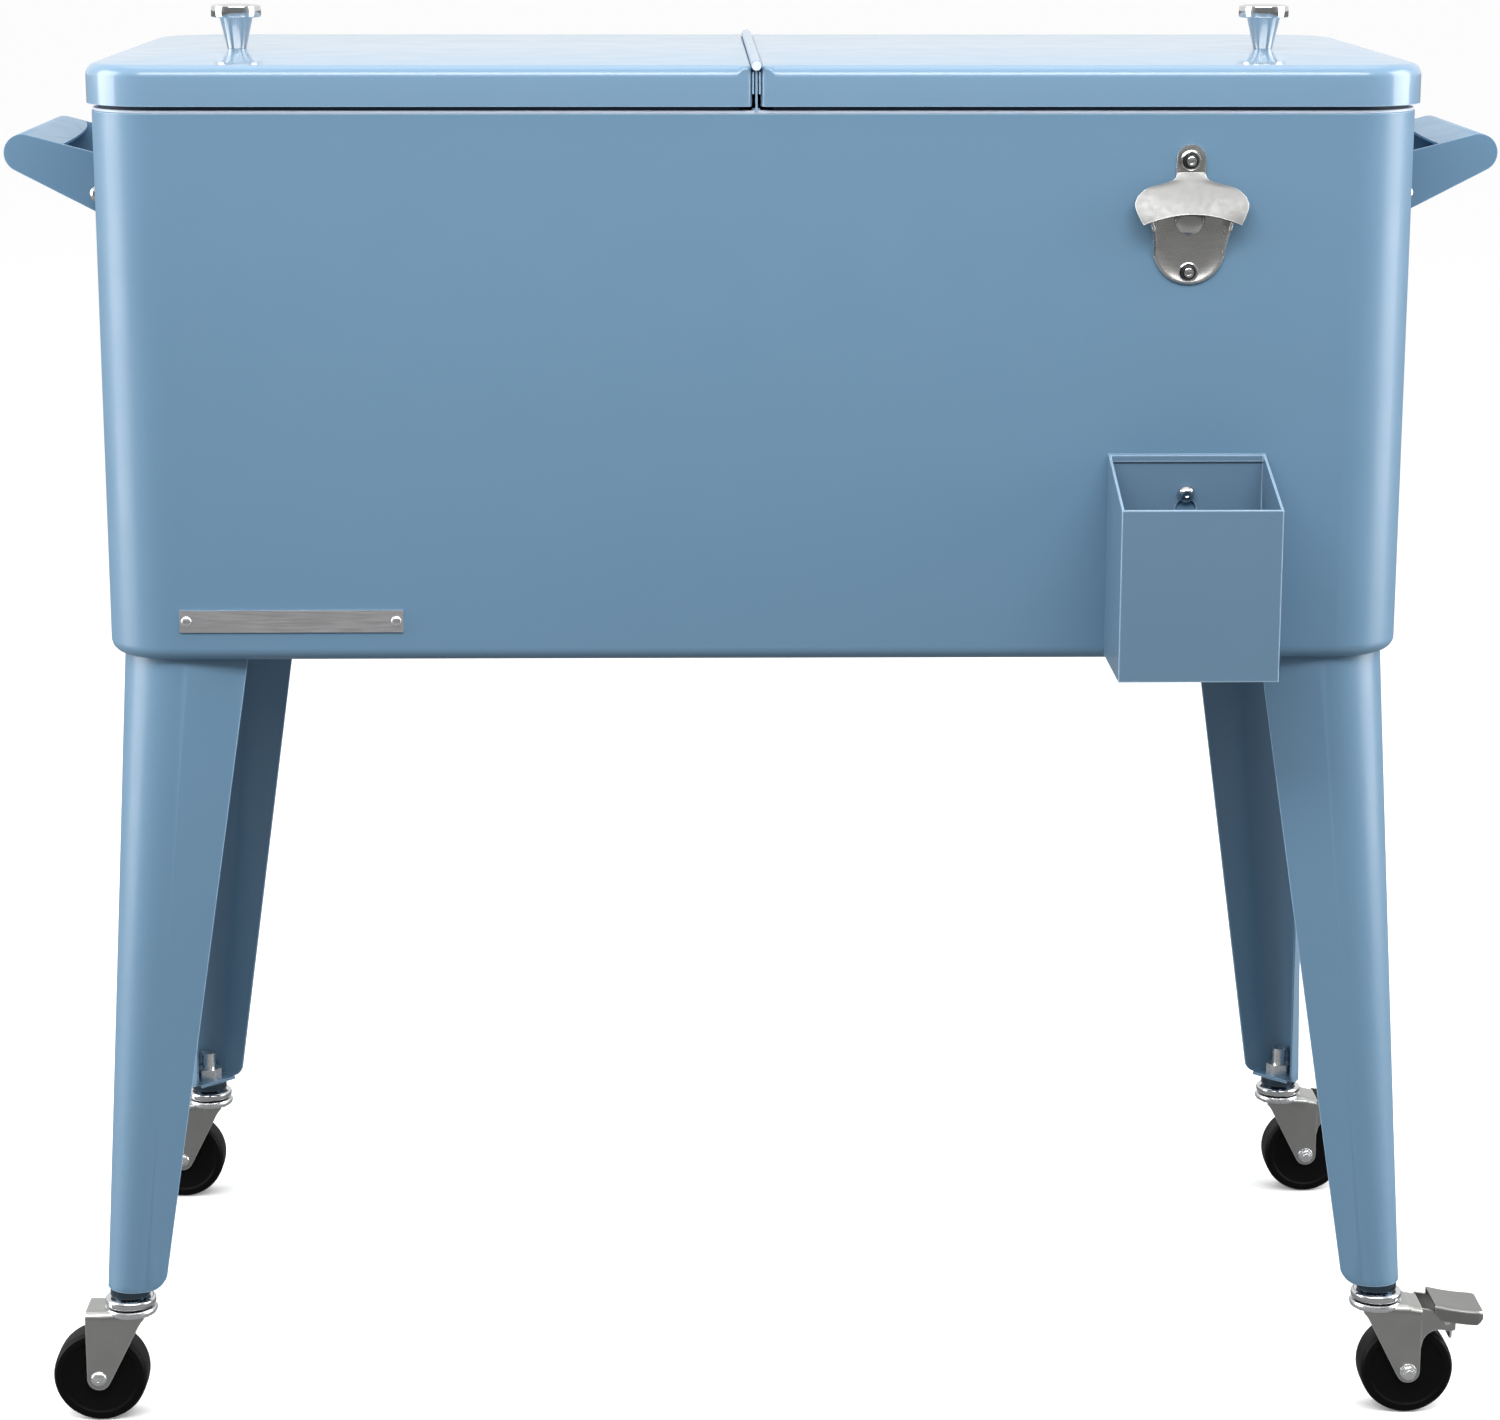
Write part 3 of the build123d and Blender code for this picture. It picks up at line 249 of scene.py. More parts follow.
class Sheet:
    """Vertices and faces gathered for one piece."""

    def __init__(self):
        self.points, self.faces = [], []

    def grid(self, rows, closed=False):
        """Rows of equally many points, joined by quads. A closed grid joins each row's ends."""
        start, wide = len(self.points), len(rows[0])
        self.points += [Vector(p) for row in rows for p in row]
        for i in range(len(rows) - 1):
            for j in range(wide if closed else wide - 1):
                a, b = start + i * wide + j, start + i * wide + (j + 1) % wide
                self.faces.append((a, b, b + wide, a + wide))
        return start

    def cap(self, start, count, turned=False):
        ring = tuple(range(start, start + count))
        self.faces.append(ring[::-1] if turned else ring)

    def lathe(self, profile, centre, axis=(0, 0, 1), sides=64):
        """Closed solid of revolution from (radius, distance along the axis) pairs."""
        along = Vector(axis).normalized()
        side = along.orthogonal().normalized()
        other = along.cross(side)
        rows = []
        for radius, distance in profile:
            turns = [2 * math.pi * k / sides for k in range(sides)]
            middle_point = Vector(centre) + along * distance
            rows.append([middle_point + (side * math.cos(t) + other * math.sin(t)) * radius for t in turns])
        start = self.grid(rows, closed=True)
        self.cap(start, sides, turned=True)
        self.cap(start + (len(rows) - 1) * sides, sides)

    def prism(self, outline, low, high, place):
        """Outline in two coordinates, extruded from low to high; place maps (u, v, w) to a point."""
        count = len(outline)
        start = self.grid([[place(u, v, w) for u, v in outline] for w in (low, high)], closed=True)
        self.cap(start, count, turned=True)
        self.cap(start + count, count)

    def piece(self, name, nodes, finish=None, thick=0.0, edge=0.0, move=None, crease_angle=40,
              offset=0.0):
        """A smooth-shaded piece that stands for CAD nodes and rides on their body."""
        if move:
            self.points = [move(p) for p in self.points]
        mesh = bpy.data.meshes.new(name)
        mesh.from_pydata([p * MM for p in self.points], [], self.faces)
        work = bmesh.new()
        work.from_mesh(mesh)
        bmesh.ops.remove_doubles(work, verts=work.verts, dist=0.0005 * MM)
        bmesh.ops.dissolve_degenerate(work, dist=0.0005 * MM, edges=work.edges)
        bmesh.ops.recalc_face_normals(work, faces=work.faces)
        work.to_mesh(mesh)
        work.free()
        mesh.materials.append(finish or FINISHES[SLOT_OF[nodes[0]]])
        obj = bpy.data.objects.new(name, mesh)
        bpy.context.scene.collection.objects.link(obj)
        if thick:
            solid = obj.modifiers.new("thickness", "SOLIDIFY")
            solid.thickness, solid.offset = thick * MM, offset
        if edge:
            soften(obj, edge, 50)
        mesh.shade_smooth()
        mesh.set_sharp_from_angle(angle=math.radians(crease_angle))
        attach(obj, BODY_OF[nodes[0]])
        return obj


def between(table, value):
    """Straight-line lookup in a table of (key, value) pairs."""
    for (a, va), (b, vb) in zip(table, table[1:]):
        if value <= b:
            return va + (vb - va) * (value - a) / (b - a)
    return table[-1][1]


def arc(centre, radius, start, end, count):
    """Points of an arc, angles in degrees."""
    turns = [math.radians(start + (end - start) * k / count) for k in range(count + 1)]
    return [(centre[0] + radius * math.cos(t), centre[1] + radius * math.sin(t)) for t in turns]


def steps(start, end, count):
    """Evenly spaced values from start to end, in count intervals."""
    return [start + (end - start) * i / count for i in range(count + 1)]


# ---------------------------------------------------------------- bottle opener

# The hood, seen from the front: half its width at each depth below its top.
HOOD_HALF_WIDTHS = ((0, 8.5), (3.0, 9.2), (5.4, 11.8), (7, 17.4), (9.0, 25.0), (10.6, 28.8), (14.6, 32.8),
                    (19.4, 34.6), (22, 34.3), (28, 32.2), (33.6, 29.6))
HOOD_DEPTH = 33.6                        # from the hood's top to its lowest corners
HOOD_SAG = 6.4                           # how far the corners hang below the middle of the arch
HOOD_REACH = 16.5                        # how far the hood's lower edge stands out from the wall
HOOD_CURL = 1.2                          # how far its lower corners bend back to the wall
HOOD_BELOW_TAB = 17.3                    # the hood's top, below the top of the whole opener
TAB_R, PLATE_R = 9.1, 22.0               # round ends of the back plate
SCREW_HEAD_R, SCREW_HEAD = 4.6, 2.8
SCREW_DROP = 14.8                        # lower screw, below the centre of the plate's round end
BOX_SCREW_R, BOX_SCREW_SHANK = 5.4, 1.9

# Rings of the back plate from its rim inwards: size of the round end, size of the tab, stand-off.
BACK_RINGS = ((1.0, 1.0, 0.3), (1.0, 1.0, 1.7), (0.975, 0.96, 2.2), (0.93, 0.888, 2.2), (0.88, 0.808, 1.5),
              (0.6, 0.4, 0.9), (0.3, 0.1, 0.8))
TAB_FROM = 24.0                          # the tab's rings start this far above the round end's centre


def opener_hood(x, top):
    """The hood: a neck that widens to two shoulders and leans out from the wall."""
    hood = Sheet()
    rows = []
    for t in steps(0, 1, 36):
        stand = 1.2 + (HOOD_REACH - 2.4) * (0.8 * t + 0.2 * math.sin(t * math.pi / 2))
        half = between(HOOD_HALF_WIDTHS, HOOD_DEPTH * t)
        row = []
        for u in steps(-1, 1, 36):
            sunk = t * (HOOD_DEPTH - HOOD_SAG * (1 - u * u))
            curl = HOOD_CURL * t * u * u
            row.append((x + half * u, FRONT - stand + curl, top - sunk + 0.2 * stand * t))
        rows.append(row)
    hood.grid(rows)
    return hood.piece("opener_hood", ["bottle_opener"], HOOD_STEEL, thick=1.7, edge=0.4, crease_angle=60)


def opener_back(x, tab_z, plate_z, top):
    """Dished back plate with a round tab, its rim standing a little proud."""
    back = Sheet()
    shoulder = [(TAB_R, top - 8), (PLATE_R - 6, top - 12), (PLATE_R, top - 18)]
    outline = arc((0, tab_z), TAB_R, 0, 180, 16)
    outline += [(-u, v) for u, v in shoulder]
    outline += arc((0, plate_z), PLATE_R, 180, 360, 48)
    outline += shoulder[::-1]
    rows = []
    for size, tab_size, stand in BACK_RINGS:
        row = []
        for u, v in outline:
            in_tab = v > plate_z + TAB_FROM
            scale = tab_size if in_tab else size
            centre = min(v, tab_z) if in_tab else plate_z
            row.append((x + u * scale, FRONT - stand, centre + (v - centre) * scale))
        rows.append(row)
    start = back.grid(rows, closed=True)
    back.cap(start, len(outline), turned=True)
    back.cap(start + (len(rows) - 1) * len(outline), len(outline))
    back.piece("opener_back_plate", ["bottle_opener"], crease_angle=50)


def opener_cheeks(x, top):
    """The walls that flare from the plate out to the hood's corners."""
    cheeks = Sheet()
    for side in (-1, 1):
        rows = []
        for t in steps(0, 1, 12):
            stand = 1.0 + 12.5 * t ** 0.8
            z_low, z_high = top - 52 + 19 * t ** 0.75, top - 16 - 8 * t
            row = []
            for s in steps(0, 1, 12):
                half = 21.0 + 4.5 * t ** 1.5 * (0.5 + 0.5 * s)
                row.append((x + side * half, FRONT - stand, z_low + (z_high - z_low) * s))
            rows.append(row)
        cheeks.grid(rows)
    cheeks.piece("opener_cheeks", ["bottle_opener"], thick=1.8, edge=0.5, crease_angle=60)


def opener_tooth(x, top):
    """Soft tongue under the arch, which catches the cap."""
    half_width, half_height, reach, sides, rings = 9.5, 10.0, 4.0, 40, 12
    tooth = Sheet()
    rows = []
    for angle in steps(0, math.pi / 2, rings):
        size = math.cos(angle * 0.98)
        ring = []
        for k in range(sides):
            turn = 2 * math.pi * k / sides
            ring.append((x + half_width * math.cos(turn) * size, FRONT - 1.0 - reach * math.sin(angle),
                         top - 28 + half_height * math.sin(turn) * size))
        rows.append(ring)
    start = tooth.grid(rows, closed=True)
    tooth.cap(start, sides, turned=True)
    tooth.cap(start + rings * sides, sides)
    tooth.piece("opener_tooth", ["bottle_opener"])


def socket_screw(sheet, ring, x, z, stand):
    """Bright washer and domed head with a socket, and the black ring between them: painted shade, standing
    for the shadow and dark reflection on the head's steep side.
    """
    r, height = SCREW_HEAD_R, SCREW_HEAD
    place, out = (x, FRONT - stand, z), (0, -1, 0)
    sheet.lathe([(r * 1.3, -0.4), (r * 1.3, 0.3), (r * 1.2, 0.55), (r * 0.98, 0.2)], place, out)
    sheet.lathe([(r * 0.62, 0.0), (r * 0.62, height * 0.93), (r * 0.55, height), (r * 0.38, height * 1.02),
                 (r * 0.36, height * 0.75), (r * 0.1, height * 0.6)], place, out, sides=48)
    # Black ring: painted shade where the head's steep side is dark.
    ring.lathe([(r * 0.94, 0.0), (r * 0.95, height * 0.5), (r * 0.86, height * 0.85),
                (r * 0.72, height * 0.92), (r * 0.63, height * 0.8), (r * 0.6, 0.1)], place, out, sides=48)


def build_opener():
    low, high = (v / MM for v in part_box("bottle_opener"))
    x, top = (low.x + high.x) / 2, high.z - HOOD_BELOW_TAB
    tab_z, plate_z = high.z - TAB_R, low.z + PLATE_R
    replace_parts(opener_hood(x, top), "bottle_opener")
    opener_back(x, tab_z, plate_z, top)
    opener_cheeks(x, top)
    opener_tooth(x, top)
    heads, rings = Sheet(), Sheet()
    for z in (tab_z - 1.0, plate_z - SCREW_DROP):
        socket_screw(heads, rings, x, z, 1.6)
    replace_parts(heads.piece("opener_screw_heads", ["opener_screws"], FINISHES["chrome"]), "opener_screws")
    # The black rings are painted shade around the screw heads.
    rings.piece("opener_screw_shade_rings", ["opener_screws"], SCREW_RING_SHADE)


def build_box_screw():
    """Domed screw that the cap box hangs on, standing clear of the wall."""
    place, r = middle("cap_box_screw") / MM, BOX_SCREW_R
    dome = [(r * math.cos(a), 2.6 + 4.2 * math.sin(a)) for a in steps(0.05, 1.2, 8)]
    screw = Sheet()
    screw.lathe([(BOX_SCREW_SHANK, -3.0), (BOX_SCREW_SHANK, 2.1), (r, 2.1)] + dome + [(1.6, 6.4), (1.2, 5.2)],
                (place.x, FRONT, place.z), (0, -1, 0), sides=48)
    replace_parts(screw.piece("cap_box_dome_screw", ["cap_box_screw"]), "cap_box_screw")


# ---------------------------------------------------------------- casters, drawn about the swivel's axis
# The wheel trails towards +x, as on the right-hand casters. Heights are above the ground.

TRAIL, AXLE_Z = 20.0, 30.0
FORK_SHEET, FORK_BEND_R = 2.0, 4.0
ARM_OUT = 15.5                           # outer face of the fork's side plates
ARM_END = 7.5                            # round end of the side plate, about the axle
ARM_ROOT = (-7.0, 66.5)                  # where the side plate's front edge leaves the crown
CROWN_R, CROWN_TOP = 17.0, 75.0
CREASE_X, CREASE_Z, CREASE_LEAN = 13.0, 50.0, 0.28
EAR_LOW = ((27.5, 46), (27.9, 49.5), (29.2, 53), (31.6, 56), (35, 58), (39, 58.8), (44, 58.2), (48.5, 57.4))
EAR_TIP, EAR_ROUND_FROM = 49.5, 46.0
EAR_DROP, EAR_FALL = 0.6, 0.17           # the ear's top edge: step down at the axle, and fall per mm
PIVOT = (44, 0, 64)
PIN_R = 1.9
CROWN = ((6, 70.6), (14.5, 70.6), (16.4, 71.0), (17.0, 72.3), (17.0, 73.8), (16.3, 75.0), (12, 75.3),
         (6, 75.3))

# Half of a wheel's section as (radius, distance from its middle plane): hub, face, shoulder and tread.
WHEEL_HALF = ((4.1, 12.6), (8.6, 12.6), (9.4, 11.9), (9.8, 11.0), (22.5, 10.9), (23.6, 11.3), (24.4, 11.9),
              (26.4, 12.0), (28.2, 11.6), (29.3, 10.5), (29.8, 9.0), (30.0, 5.0), (30.0, 0.0))

BOLT_R, BOLT_HEAD_R, BOLT_HEAD = 3.4, 5.2, 2.5
WASHER = ((3.0, 0), (5.4, 0), (5.4, 0.6), (5.1, 0.8), (3.0, 0.8))
NUT_R, NUT_LOW, NUT_HIGH, NUT_TURN = 4.5, 1.0, 4.2, 10
THREAD_R, THREAD_DEPTH, THREAD_PITCH = 2.4, 0.3, 0.24

PEDAL_START, PEDAL_END, PEDAL_HALF = 35.5, 66.8, 17.0
PEDAL_HIGH, PEDAL_LOW, PEDAL_DISH = 75.5, 71.0, 0.8
PEDAL_SKIRT, PEDAL_EDGE_R, PEDAL_TIP_FROM = 9.0, 2.0, 62.8
NECK_HALF = 10.8
NECK_PATH = ((38.5, 74.4), (41.5, 73.6), (44, 71.6), (45.4, 68), (46.4, 64), (47.2, 58), (47.6, 54.5),
             (47.5, 52.2), (46.9, 50.9))


def hexagon(radius, turn=0):
    return [(radius * math.cos(math.radians(60 * k + turn)), radius * math.sin(math.radians(60 * k + turn)))
            for k in range(6)]


def mirrored(half):
    """A half section from one edge to the middle, joined to its mirror image across y = 0."""
    return half + [(x, -y, z) for x, y, z in half[-2::-1]]


def arm_low(x, braked):
    """Lowest point of the fork's side plate at a station along x."""
    if braked and x > TRAIL + ARM_END:
        return between(EAR_LOW, x)
    dx, dz = TRAIL - ARM_ROOT[0], AXLE_Z - ARM_ROOT[1]
    span = math.hypot(dx, dz)
    lean = math.atan2(dz, dx) - math.asin(ARM_END / span)
    touch = ARM_ROOT[0] + math.sqrt(span ** 2 - ARM_END ** 2) * math.cos(lean)
    if x < ARM_ROOT[0]:
        rise = min((ARM_ROOT[0] - x) / 5, 1)
        return ARM_ROOT[1] + (CROWN_TOP - 4 - ARM_ROOT[1]) * math.sin(rise * math.pi / 2)
    if x < touch:
        return ARM_ROOT[1] + (x - ARM_ROOT[0]) * math.tan(lean)
    return AXLE_Z - math.sqrt(max(ARM_END ** 2 - (x - TRAIL) ** 2, 0))


def arm_top(x, braked):
    if not braked or x < TRAIL:
        return CROWN_TOP
    return CROWN_TOP - EAR_DROP - (x - TRAIL) * EAR_FALL


def fork_half(x, z):
    """Half width of the fork at a point of its side, drawn in around the crown before the crease."""
    crease = CREASE_X + max(z - CREASE_Z, 0) * CREASE_LEAN
    out = ARM_OUT
    if x < crease:
        out -= min((crease - x) * 0.11, 3.0)
    if x < 2:
        out = min(out, math.sqrt(max((CROWN_R - 1.2) ** 2 - (x - 2) ** 2, 4)))
    return out


def fork_section(x, low, top):
    """Points across the fork at one station, from one lower edge over the crown to the other."""
    inset, bend = FORK_SHEET / 2, FORK_BEND_R
    bend_y, bend_z = fork_half(x, top) - inset - bend, top - inset - bend
    side = [(x, fork_half(x, z) - inset, z) for z in steps(low, bend_z, 10)]
    for angle in steps(0, math.pi / 2, 6)[1:]:
        side.append((x, bend_y + bend * math.cos(angle), bend_z + bend * math.sin(angle)))
    return mirrored(side + [(x, y, top - inset) for y in steps(bend_y, 0, 4)[1:]])


def fork_sheet(braked):
    """One bent sheet: flat crown, round bends, two side plates, and ears for the brake's pivot."""
    sheet = Sheet()
    stations = steps(-12.5, 12.5, 20) + [TRAIL + ARM_END * math.sin(a) for a in steps(-0.95, math.pi / 2, 18)]
    sheet.grid([fork_section(x, arm_low(x, braked), arm_top(x, braked)) for x in stations])
    for side in (-1, 1) if braked else ():
        plate_y, ear = side * (ARM_OUT - FORK_SHEET / 2), []
        for x in steps(TRAIL + ARM_END, EAR_TIP, 16):
            past = max(x - EAR_ROUND_FROM, 0) ** 2
            low, high = between(EAR_LOW, x) + past * 0.12, arm_top(x, True) - past * 0.16
            ear.append([(x, plate_y, low + (high - low) * s) for s in steps(0, 1, 8)])
        sheet.grid(ear)
    return sheet


def build_wheel(corner, place):
    node, wheel = "wheel_" + corner, Sheet()
    other_half = [(r, -t) for r, t in WHEEL_HALF[-2::-1]]
    wheel.lathe(list(WHEEL_HALF) + other_half, (TRAIL, 0, AXLE_Z), (0, 1, 0), sides=96)
    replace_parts(wheel.piece("wheel_tyre_" + corner, [node], move=place, crease_angle=30), node)


def build_axle(corner, place):
    """Domed head at one end; washer, nut and threaded end at the other."""
    node, out, axle = "axle_" + corner, ARM_OUT, (TRAIL, 0, AXLE_Z)
    head, nut = Sheet(), Sheet()
    dome = [(BOLT_HEAD_R * math.cos(a), out + BOLT_HEAD * math.sin(a)) for a in steps(0.15, 1.3, 8)]
    head.lathe([(BOLT_R, -out - 1), (BOLT_R, out), (BOLT_HEAD_R, out)] + dome + [(1.3, out + 2.0)],
               axle, (0, 1, 0), sides=48)
    nut.lathe(WASHER, (TRAIL, -out, AXLE_Z), (0, -1, 0), 48)
    nut.prism(hexagon(NUT_R, NUT_TURN), out + NUT_LOW, out + NUT_HIGH,
              lambda u, v, w: (TRAIL + u, -w, AXLE_Z + v))
    thread = [(THREAD_R + THREAD_DEPTH * (k % 2), out + 4.0 + k * THREAD_PITCH) for k in range(5)]
    nut.lathe([(THREAD_R, out + 3.0)] + thread + [(1.6, out + 4.95)], axle, (0, -1, 0), 40)
    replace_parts(head.piece("axle_head_" + corner, [node], move=place), node)
    nut.piece("axle_nut_" + corner, [node], edge=0.3, move=place)


def pedal_section(x):
    """Points across the pedal at one station, from one skirt's lower edge over to the other's."""
    t, r = (x - PEDAL_START) / (PEDAL_END - PEDAL_START), PEDAL_EDGE_R
    top = PEDAL_HIGH + (PEDAL_LOW - PEDAL_HIGH) * t - PEDAL_DISH * math.sin(t * math.pi)
    past = max(x - PEDAL_TIP_FROM, 0)
    wide = PEDAL_HALF - 0.22 * past ** 1.6
    drop = max(PEDAL_SKIRT - 0.5 * past ** 1.5 - 3.5 * (1 - min(t * 8, 1)), 3.0)
    half = [(x, wide, top - s) for s in steps(drop, r, 6)]
    half += [(x, wide - r + r * math.cos(a), top - r + r * math.sin(a)) for a in steps(0, math.pi / 2, 5)[1:]]
    return mirrored(half + [(x, y, top) for y in steps(wide - r, 0, 5)[1:]])


def build_brake(corner, place):
    """Pressed pedal with turned-down sides, a neck that ends in the shoe, and the pivot pin."""
    node, zinc = "brake_lever_" + corner, FINISHES["zinc_steel"]
    pedal, neck, pin = Sheet(), Sheet(), Sheet()
    pedal.grid([pedal_section(x) for x in steps(PEDAL_START, PEDAL_END, 16)])
    first = pedal.piece("brake_pedal_" + corner, [node], PEDAL_GREY, thick=1.4, edge=0.4, move=place)
    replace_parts(first, node)
    neck.grid([[(x, y, z) for y in steps(-NECK_HALF, NECK_HALF, 10)] for x, z in NECK_PATH])
    neck.piece("brake_shoe_" + corner, [node], zinc, thick=1.6, edge=0.4, move=place)
    pin.lathe([(1.2, -ARM_OUT - 1.0), (PIN_R, -ARM_OUT - 0.6), (PIN_R, ARM_OUT + 0.6), (1.2, ARM_OUT + 1.0)],
              PIVOT, (0, 1, 0), 32)
    pin.piece("brake_pin_" + corner, [node], zinc, move=place)


def build_caster(corner):
    side = CORNERS[corner]
    braked = side > 0
    wheel_middle = middle("wheel_" + corner) / MM
    centre = Vector((wheel_middle.x - side * TRAIL, wheel_middle.y, 0))

    def place(p):
        return centre + Vector((side * p.x, side * p.y, p.z))

    node = "fork_" + corner
    body = fork_sheet(braked).piece("fork_sheet_" + corner, [node], thick=FORK_SHEET, edge=0.5, move=place,
                                    crease_angle=55)
    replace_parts(body, node)
    crown = Sheet()
    crown.lathe(CROWN, (0, 0, 0), sides=72)
    crown.piece("fork_crown_" + corner, [node], FINISHES["zinc_steel"], move=place, crease_angle=50)
    build_wheel(corner, place)
    build_axle(corner, place)
    if braked:
        build_brake(corner, place)


# ---------------------------------------------------------------- lids and their knobs

KNOB = ((2.6, 0.0), (5.9, 0.0), (6.2, 0.3), (10.7, 19.8), (10.9, 20.1), (15.4, 20.2), (15.9, 20.5),
        (16.1, 21.0), (16.1, 27.0), (15.9, 27.5), (15.4, 27.8), (12.0, 28.4), (6.0, 28.9), (0.4, 29.0))
LID_CORNER_R, LID_INNER_R = 47.0, 4.5    # the lid's corners in plan: outer, and beside the hinge
LID_EDGE_R, LID_TIGHT_R = 7.5, 2.9       # round of the top edge: outside, and beside the hinge
LID_EASE = (0, 1, 2, 3, 4, 5, 8)         # stations where the one round turns into the other
LID_EASE_LENGTH = 5
LID_SHEET = 1.2


def build_knob(side):
    node, knob = "lid_knob_" + side, Sheet()
    foot = middle(node) / MM
    knob.lathe(KNOB, (foot.x, foot.y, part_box(node)[0].z / MM), sides=96)
    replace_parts(knob.piece("knob_" + side, [node], crease_angle=30), node)


def plan_corner(centre_x, centre_y, radius, angles):
    """Corner of a plan as points with their outward directions."""
    turns = [(math.cos(math.radians(a)), math.sin(math.radians(a))) for a in angles]
    return [(centre_x + radius * c, centre_y + radius * n, c, n) for c, n in turns]


def lid_outline(low_x, high_x, half_y):
    """Plan of the right lid, counter-clockwise: points with their outward directions."""
    ease = [low_x + LID_INNER_R + d for d in LID_EASE]
    outer_x, outer_y = high_x - LID_CORNER_R, half_y - LID_CORNER_R
    inner_x, inner_y = low_x + LID_INNER_R, half_y - LID_INNER_R
    points = [(x, -half_y, 0, -1) for x in ease]
    points += plan_corner(outer_x, -outer_y, LID_CORNER_R, steps(-90, 0, 14))
    points += plan_corner(outer_x, outer_y, LID_CORNER_R, steps(0, 90, 14))
    points += [(x, half_y, 0, 1) for x in reversed(ease)]
    points += plan_corner(inner_x, inner_y, LID_INNER_R, steps(90, 180, 6)[1:])
    points += plan_corner(inner_x, -inner_y, LID_INNER_R, steps(180, 270, 6)[:-1])
    return points


def build_lid(side):
    """Pressed lid: wide round edges outside, a tight one beside the hinge barrel."""
    node = "lid_skin_" + side
    low, high = (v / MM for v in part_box(node))
    facing = 1 if side == "right" else -1
    near, far = sorted((abs(low.x), abs(high.x)))
    centre_y, half_y = (low.y + high.y) / 2, (high.y - low.y) / 2
    outline = lid_outline(near, far, half_y)
    rows = [[(x, y, low.z) for x, y, _, _ in outline]]
    for turn in steps(0, math.pi / 2, 8):
        row = []
        for x, y, nx, ny in outline:
            ease = min(max((x - near - LID_INNER_R) / LID_EASE_LENGTH, 0), 1)
            radius = LID_TIGHT_R + (LID_EDGE_R - LID_TIGHT_R) * ease * ease * (3 - 2 * ease)
            drawn_in = radius * (1 - math.cos(turn))
            row.append((x - nx * drawn_in, y - ny * drawn_in, high.z - radius * (1 - math.sin(turn))))
        rows.append(row)
    lid = Sheet()
    start = lid.grid(rows, closed=True)
    lid.cap(start + (len(rows) - 1) * len(outline), len(outline))
    shell = lid.piece("lid_shell_" + side, [node], thick=LID_SHEET, edge=0.25, offset=-1.0, crease_angle=60,
                      move=lambda p: Vector((facing * p.x, p.y + centre_y, p.z)))
    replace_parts(shell, node)


# ---------------------------------------------------------------- bolts and rivets

HANDLE_REACH, HANDLE_FLANGE = 67.2, 1.6  # the handle's depth from the chest's side, and its flange
HANDLE_BOLT_Z, HANDLE_BOLT_APART = 776.0, 94.5
BOLT_WASHER = ((2.9, -8.0), (2.9, 0.0), (8.0, 0.0), (8.2, 0.5), (7.8, 1.1), (3.0, 1.1))
CAP_NUT_R, CAP_NUT_HEX, CAP_NUT_DOME_FROM = 5.4, 6.3, 5.6
RIVET_R, RIVET_INSET = 3.3, 3.3


def build_handle_bolts():
    """Washers and domed cap nuts on the handles' flanges."""
    bolts = Sheet()
    dome = [(CAP_NUT_R * math.cos(a), CAP_NUT_DOME_FROM + CAP_NUT_R * math.sin(a))
            for a in steps(0.0, 1.45, 10)]
    for side, node in ((-1, "handle_left"), (1, "handle_right")):
        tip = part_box(node)[1 if side > 0 else 0].x / MM
        for end in (-1, 1):
            place = (tip - side * (HANDLE_REACH - HANDLE_FLANGE), CHEST.y / MM + end * HANDLE_BOLT_APART,
                     HANDLE_BOLT_Z)
            bolts.lathe(BOLT_WASHER, place, (side, 0, 0), 48)
            bolts.prism(hexagon(CAP_NUT_HEX), 1.0, 5.2, lambda u, v, w, at=place, out=side: (
                at[0] + out * w, at[1] + u, at[2] + v))
            bolts.lathe([(CAP_NUT_R, 4.9)] + dome, place, (side, 0, 0), 48)
    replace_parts(bolts.piece("handle_dome_bolts", ["handle_bolts"], FINISHES["chrome"]), "handle_bolts")


def build_rivets():
    rivets = Sheet()
    low, high = (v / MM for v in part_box("name_plate_rivets"))
    dome = [(RIVET_R * math.cos(a), 1.25 + 1.3 * math.sin(a)) for a in steps(0.1, 1.4, 6)]
    for x in (low.x + RIVET_INSET, high.x - RIVET_INSET):
        rivets.lathe([(2.0, -4.0), (2.0, 1.2), (RIVET_R, 1.2)] + dome + [(0.3, 2.56)],
                     (x, FRONT, (low.z + high.z) / 2), (0, -1, 0), 40)
    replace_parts(rivets.piece("name_plate_rivet_heads", ["name_plate_rivets"]), "name_plate_rivets")


# ---------------------------------------------------------------- stage

def area_light(name, place, aim, size, power):
    """Soft rectangular light, turned to face a point."""
    light = bpy.data.lights.new(name, "AREA")
    light.shape = "RECTANGLE"
    light.size, light.size_y = size
    light.energy = power
    obj = bpy.data.objects.new(name, light)
    bpy.context.scene.collection.objects.link(obj)
    obj.location = place
    obj.rotation_euler = (Vector(aim) - Vector(place)).to_track_quat("-Z", "Y").to_euler()


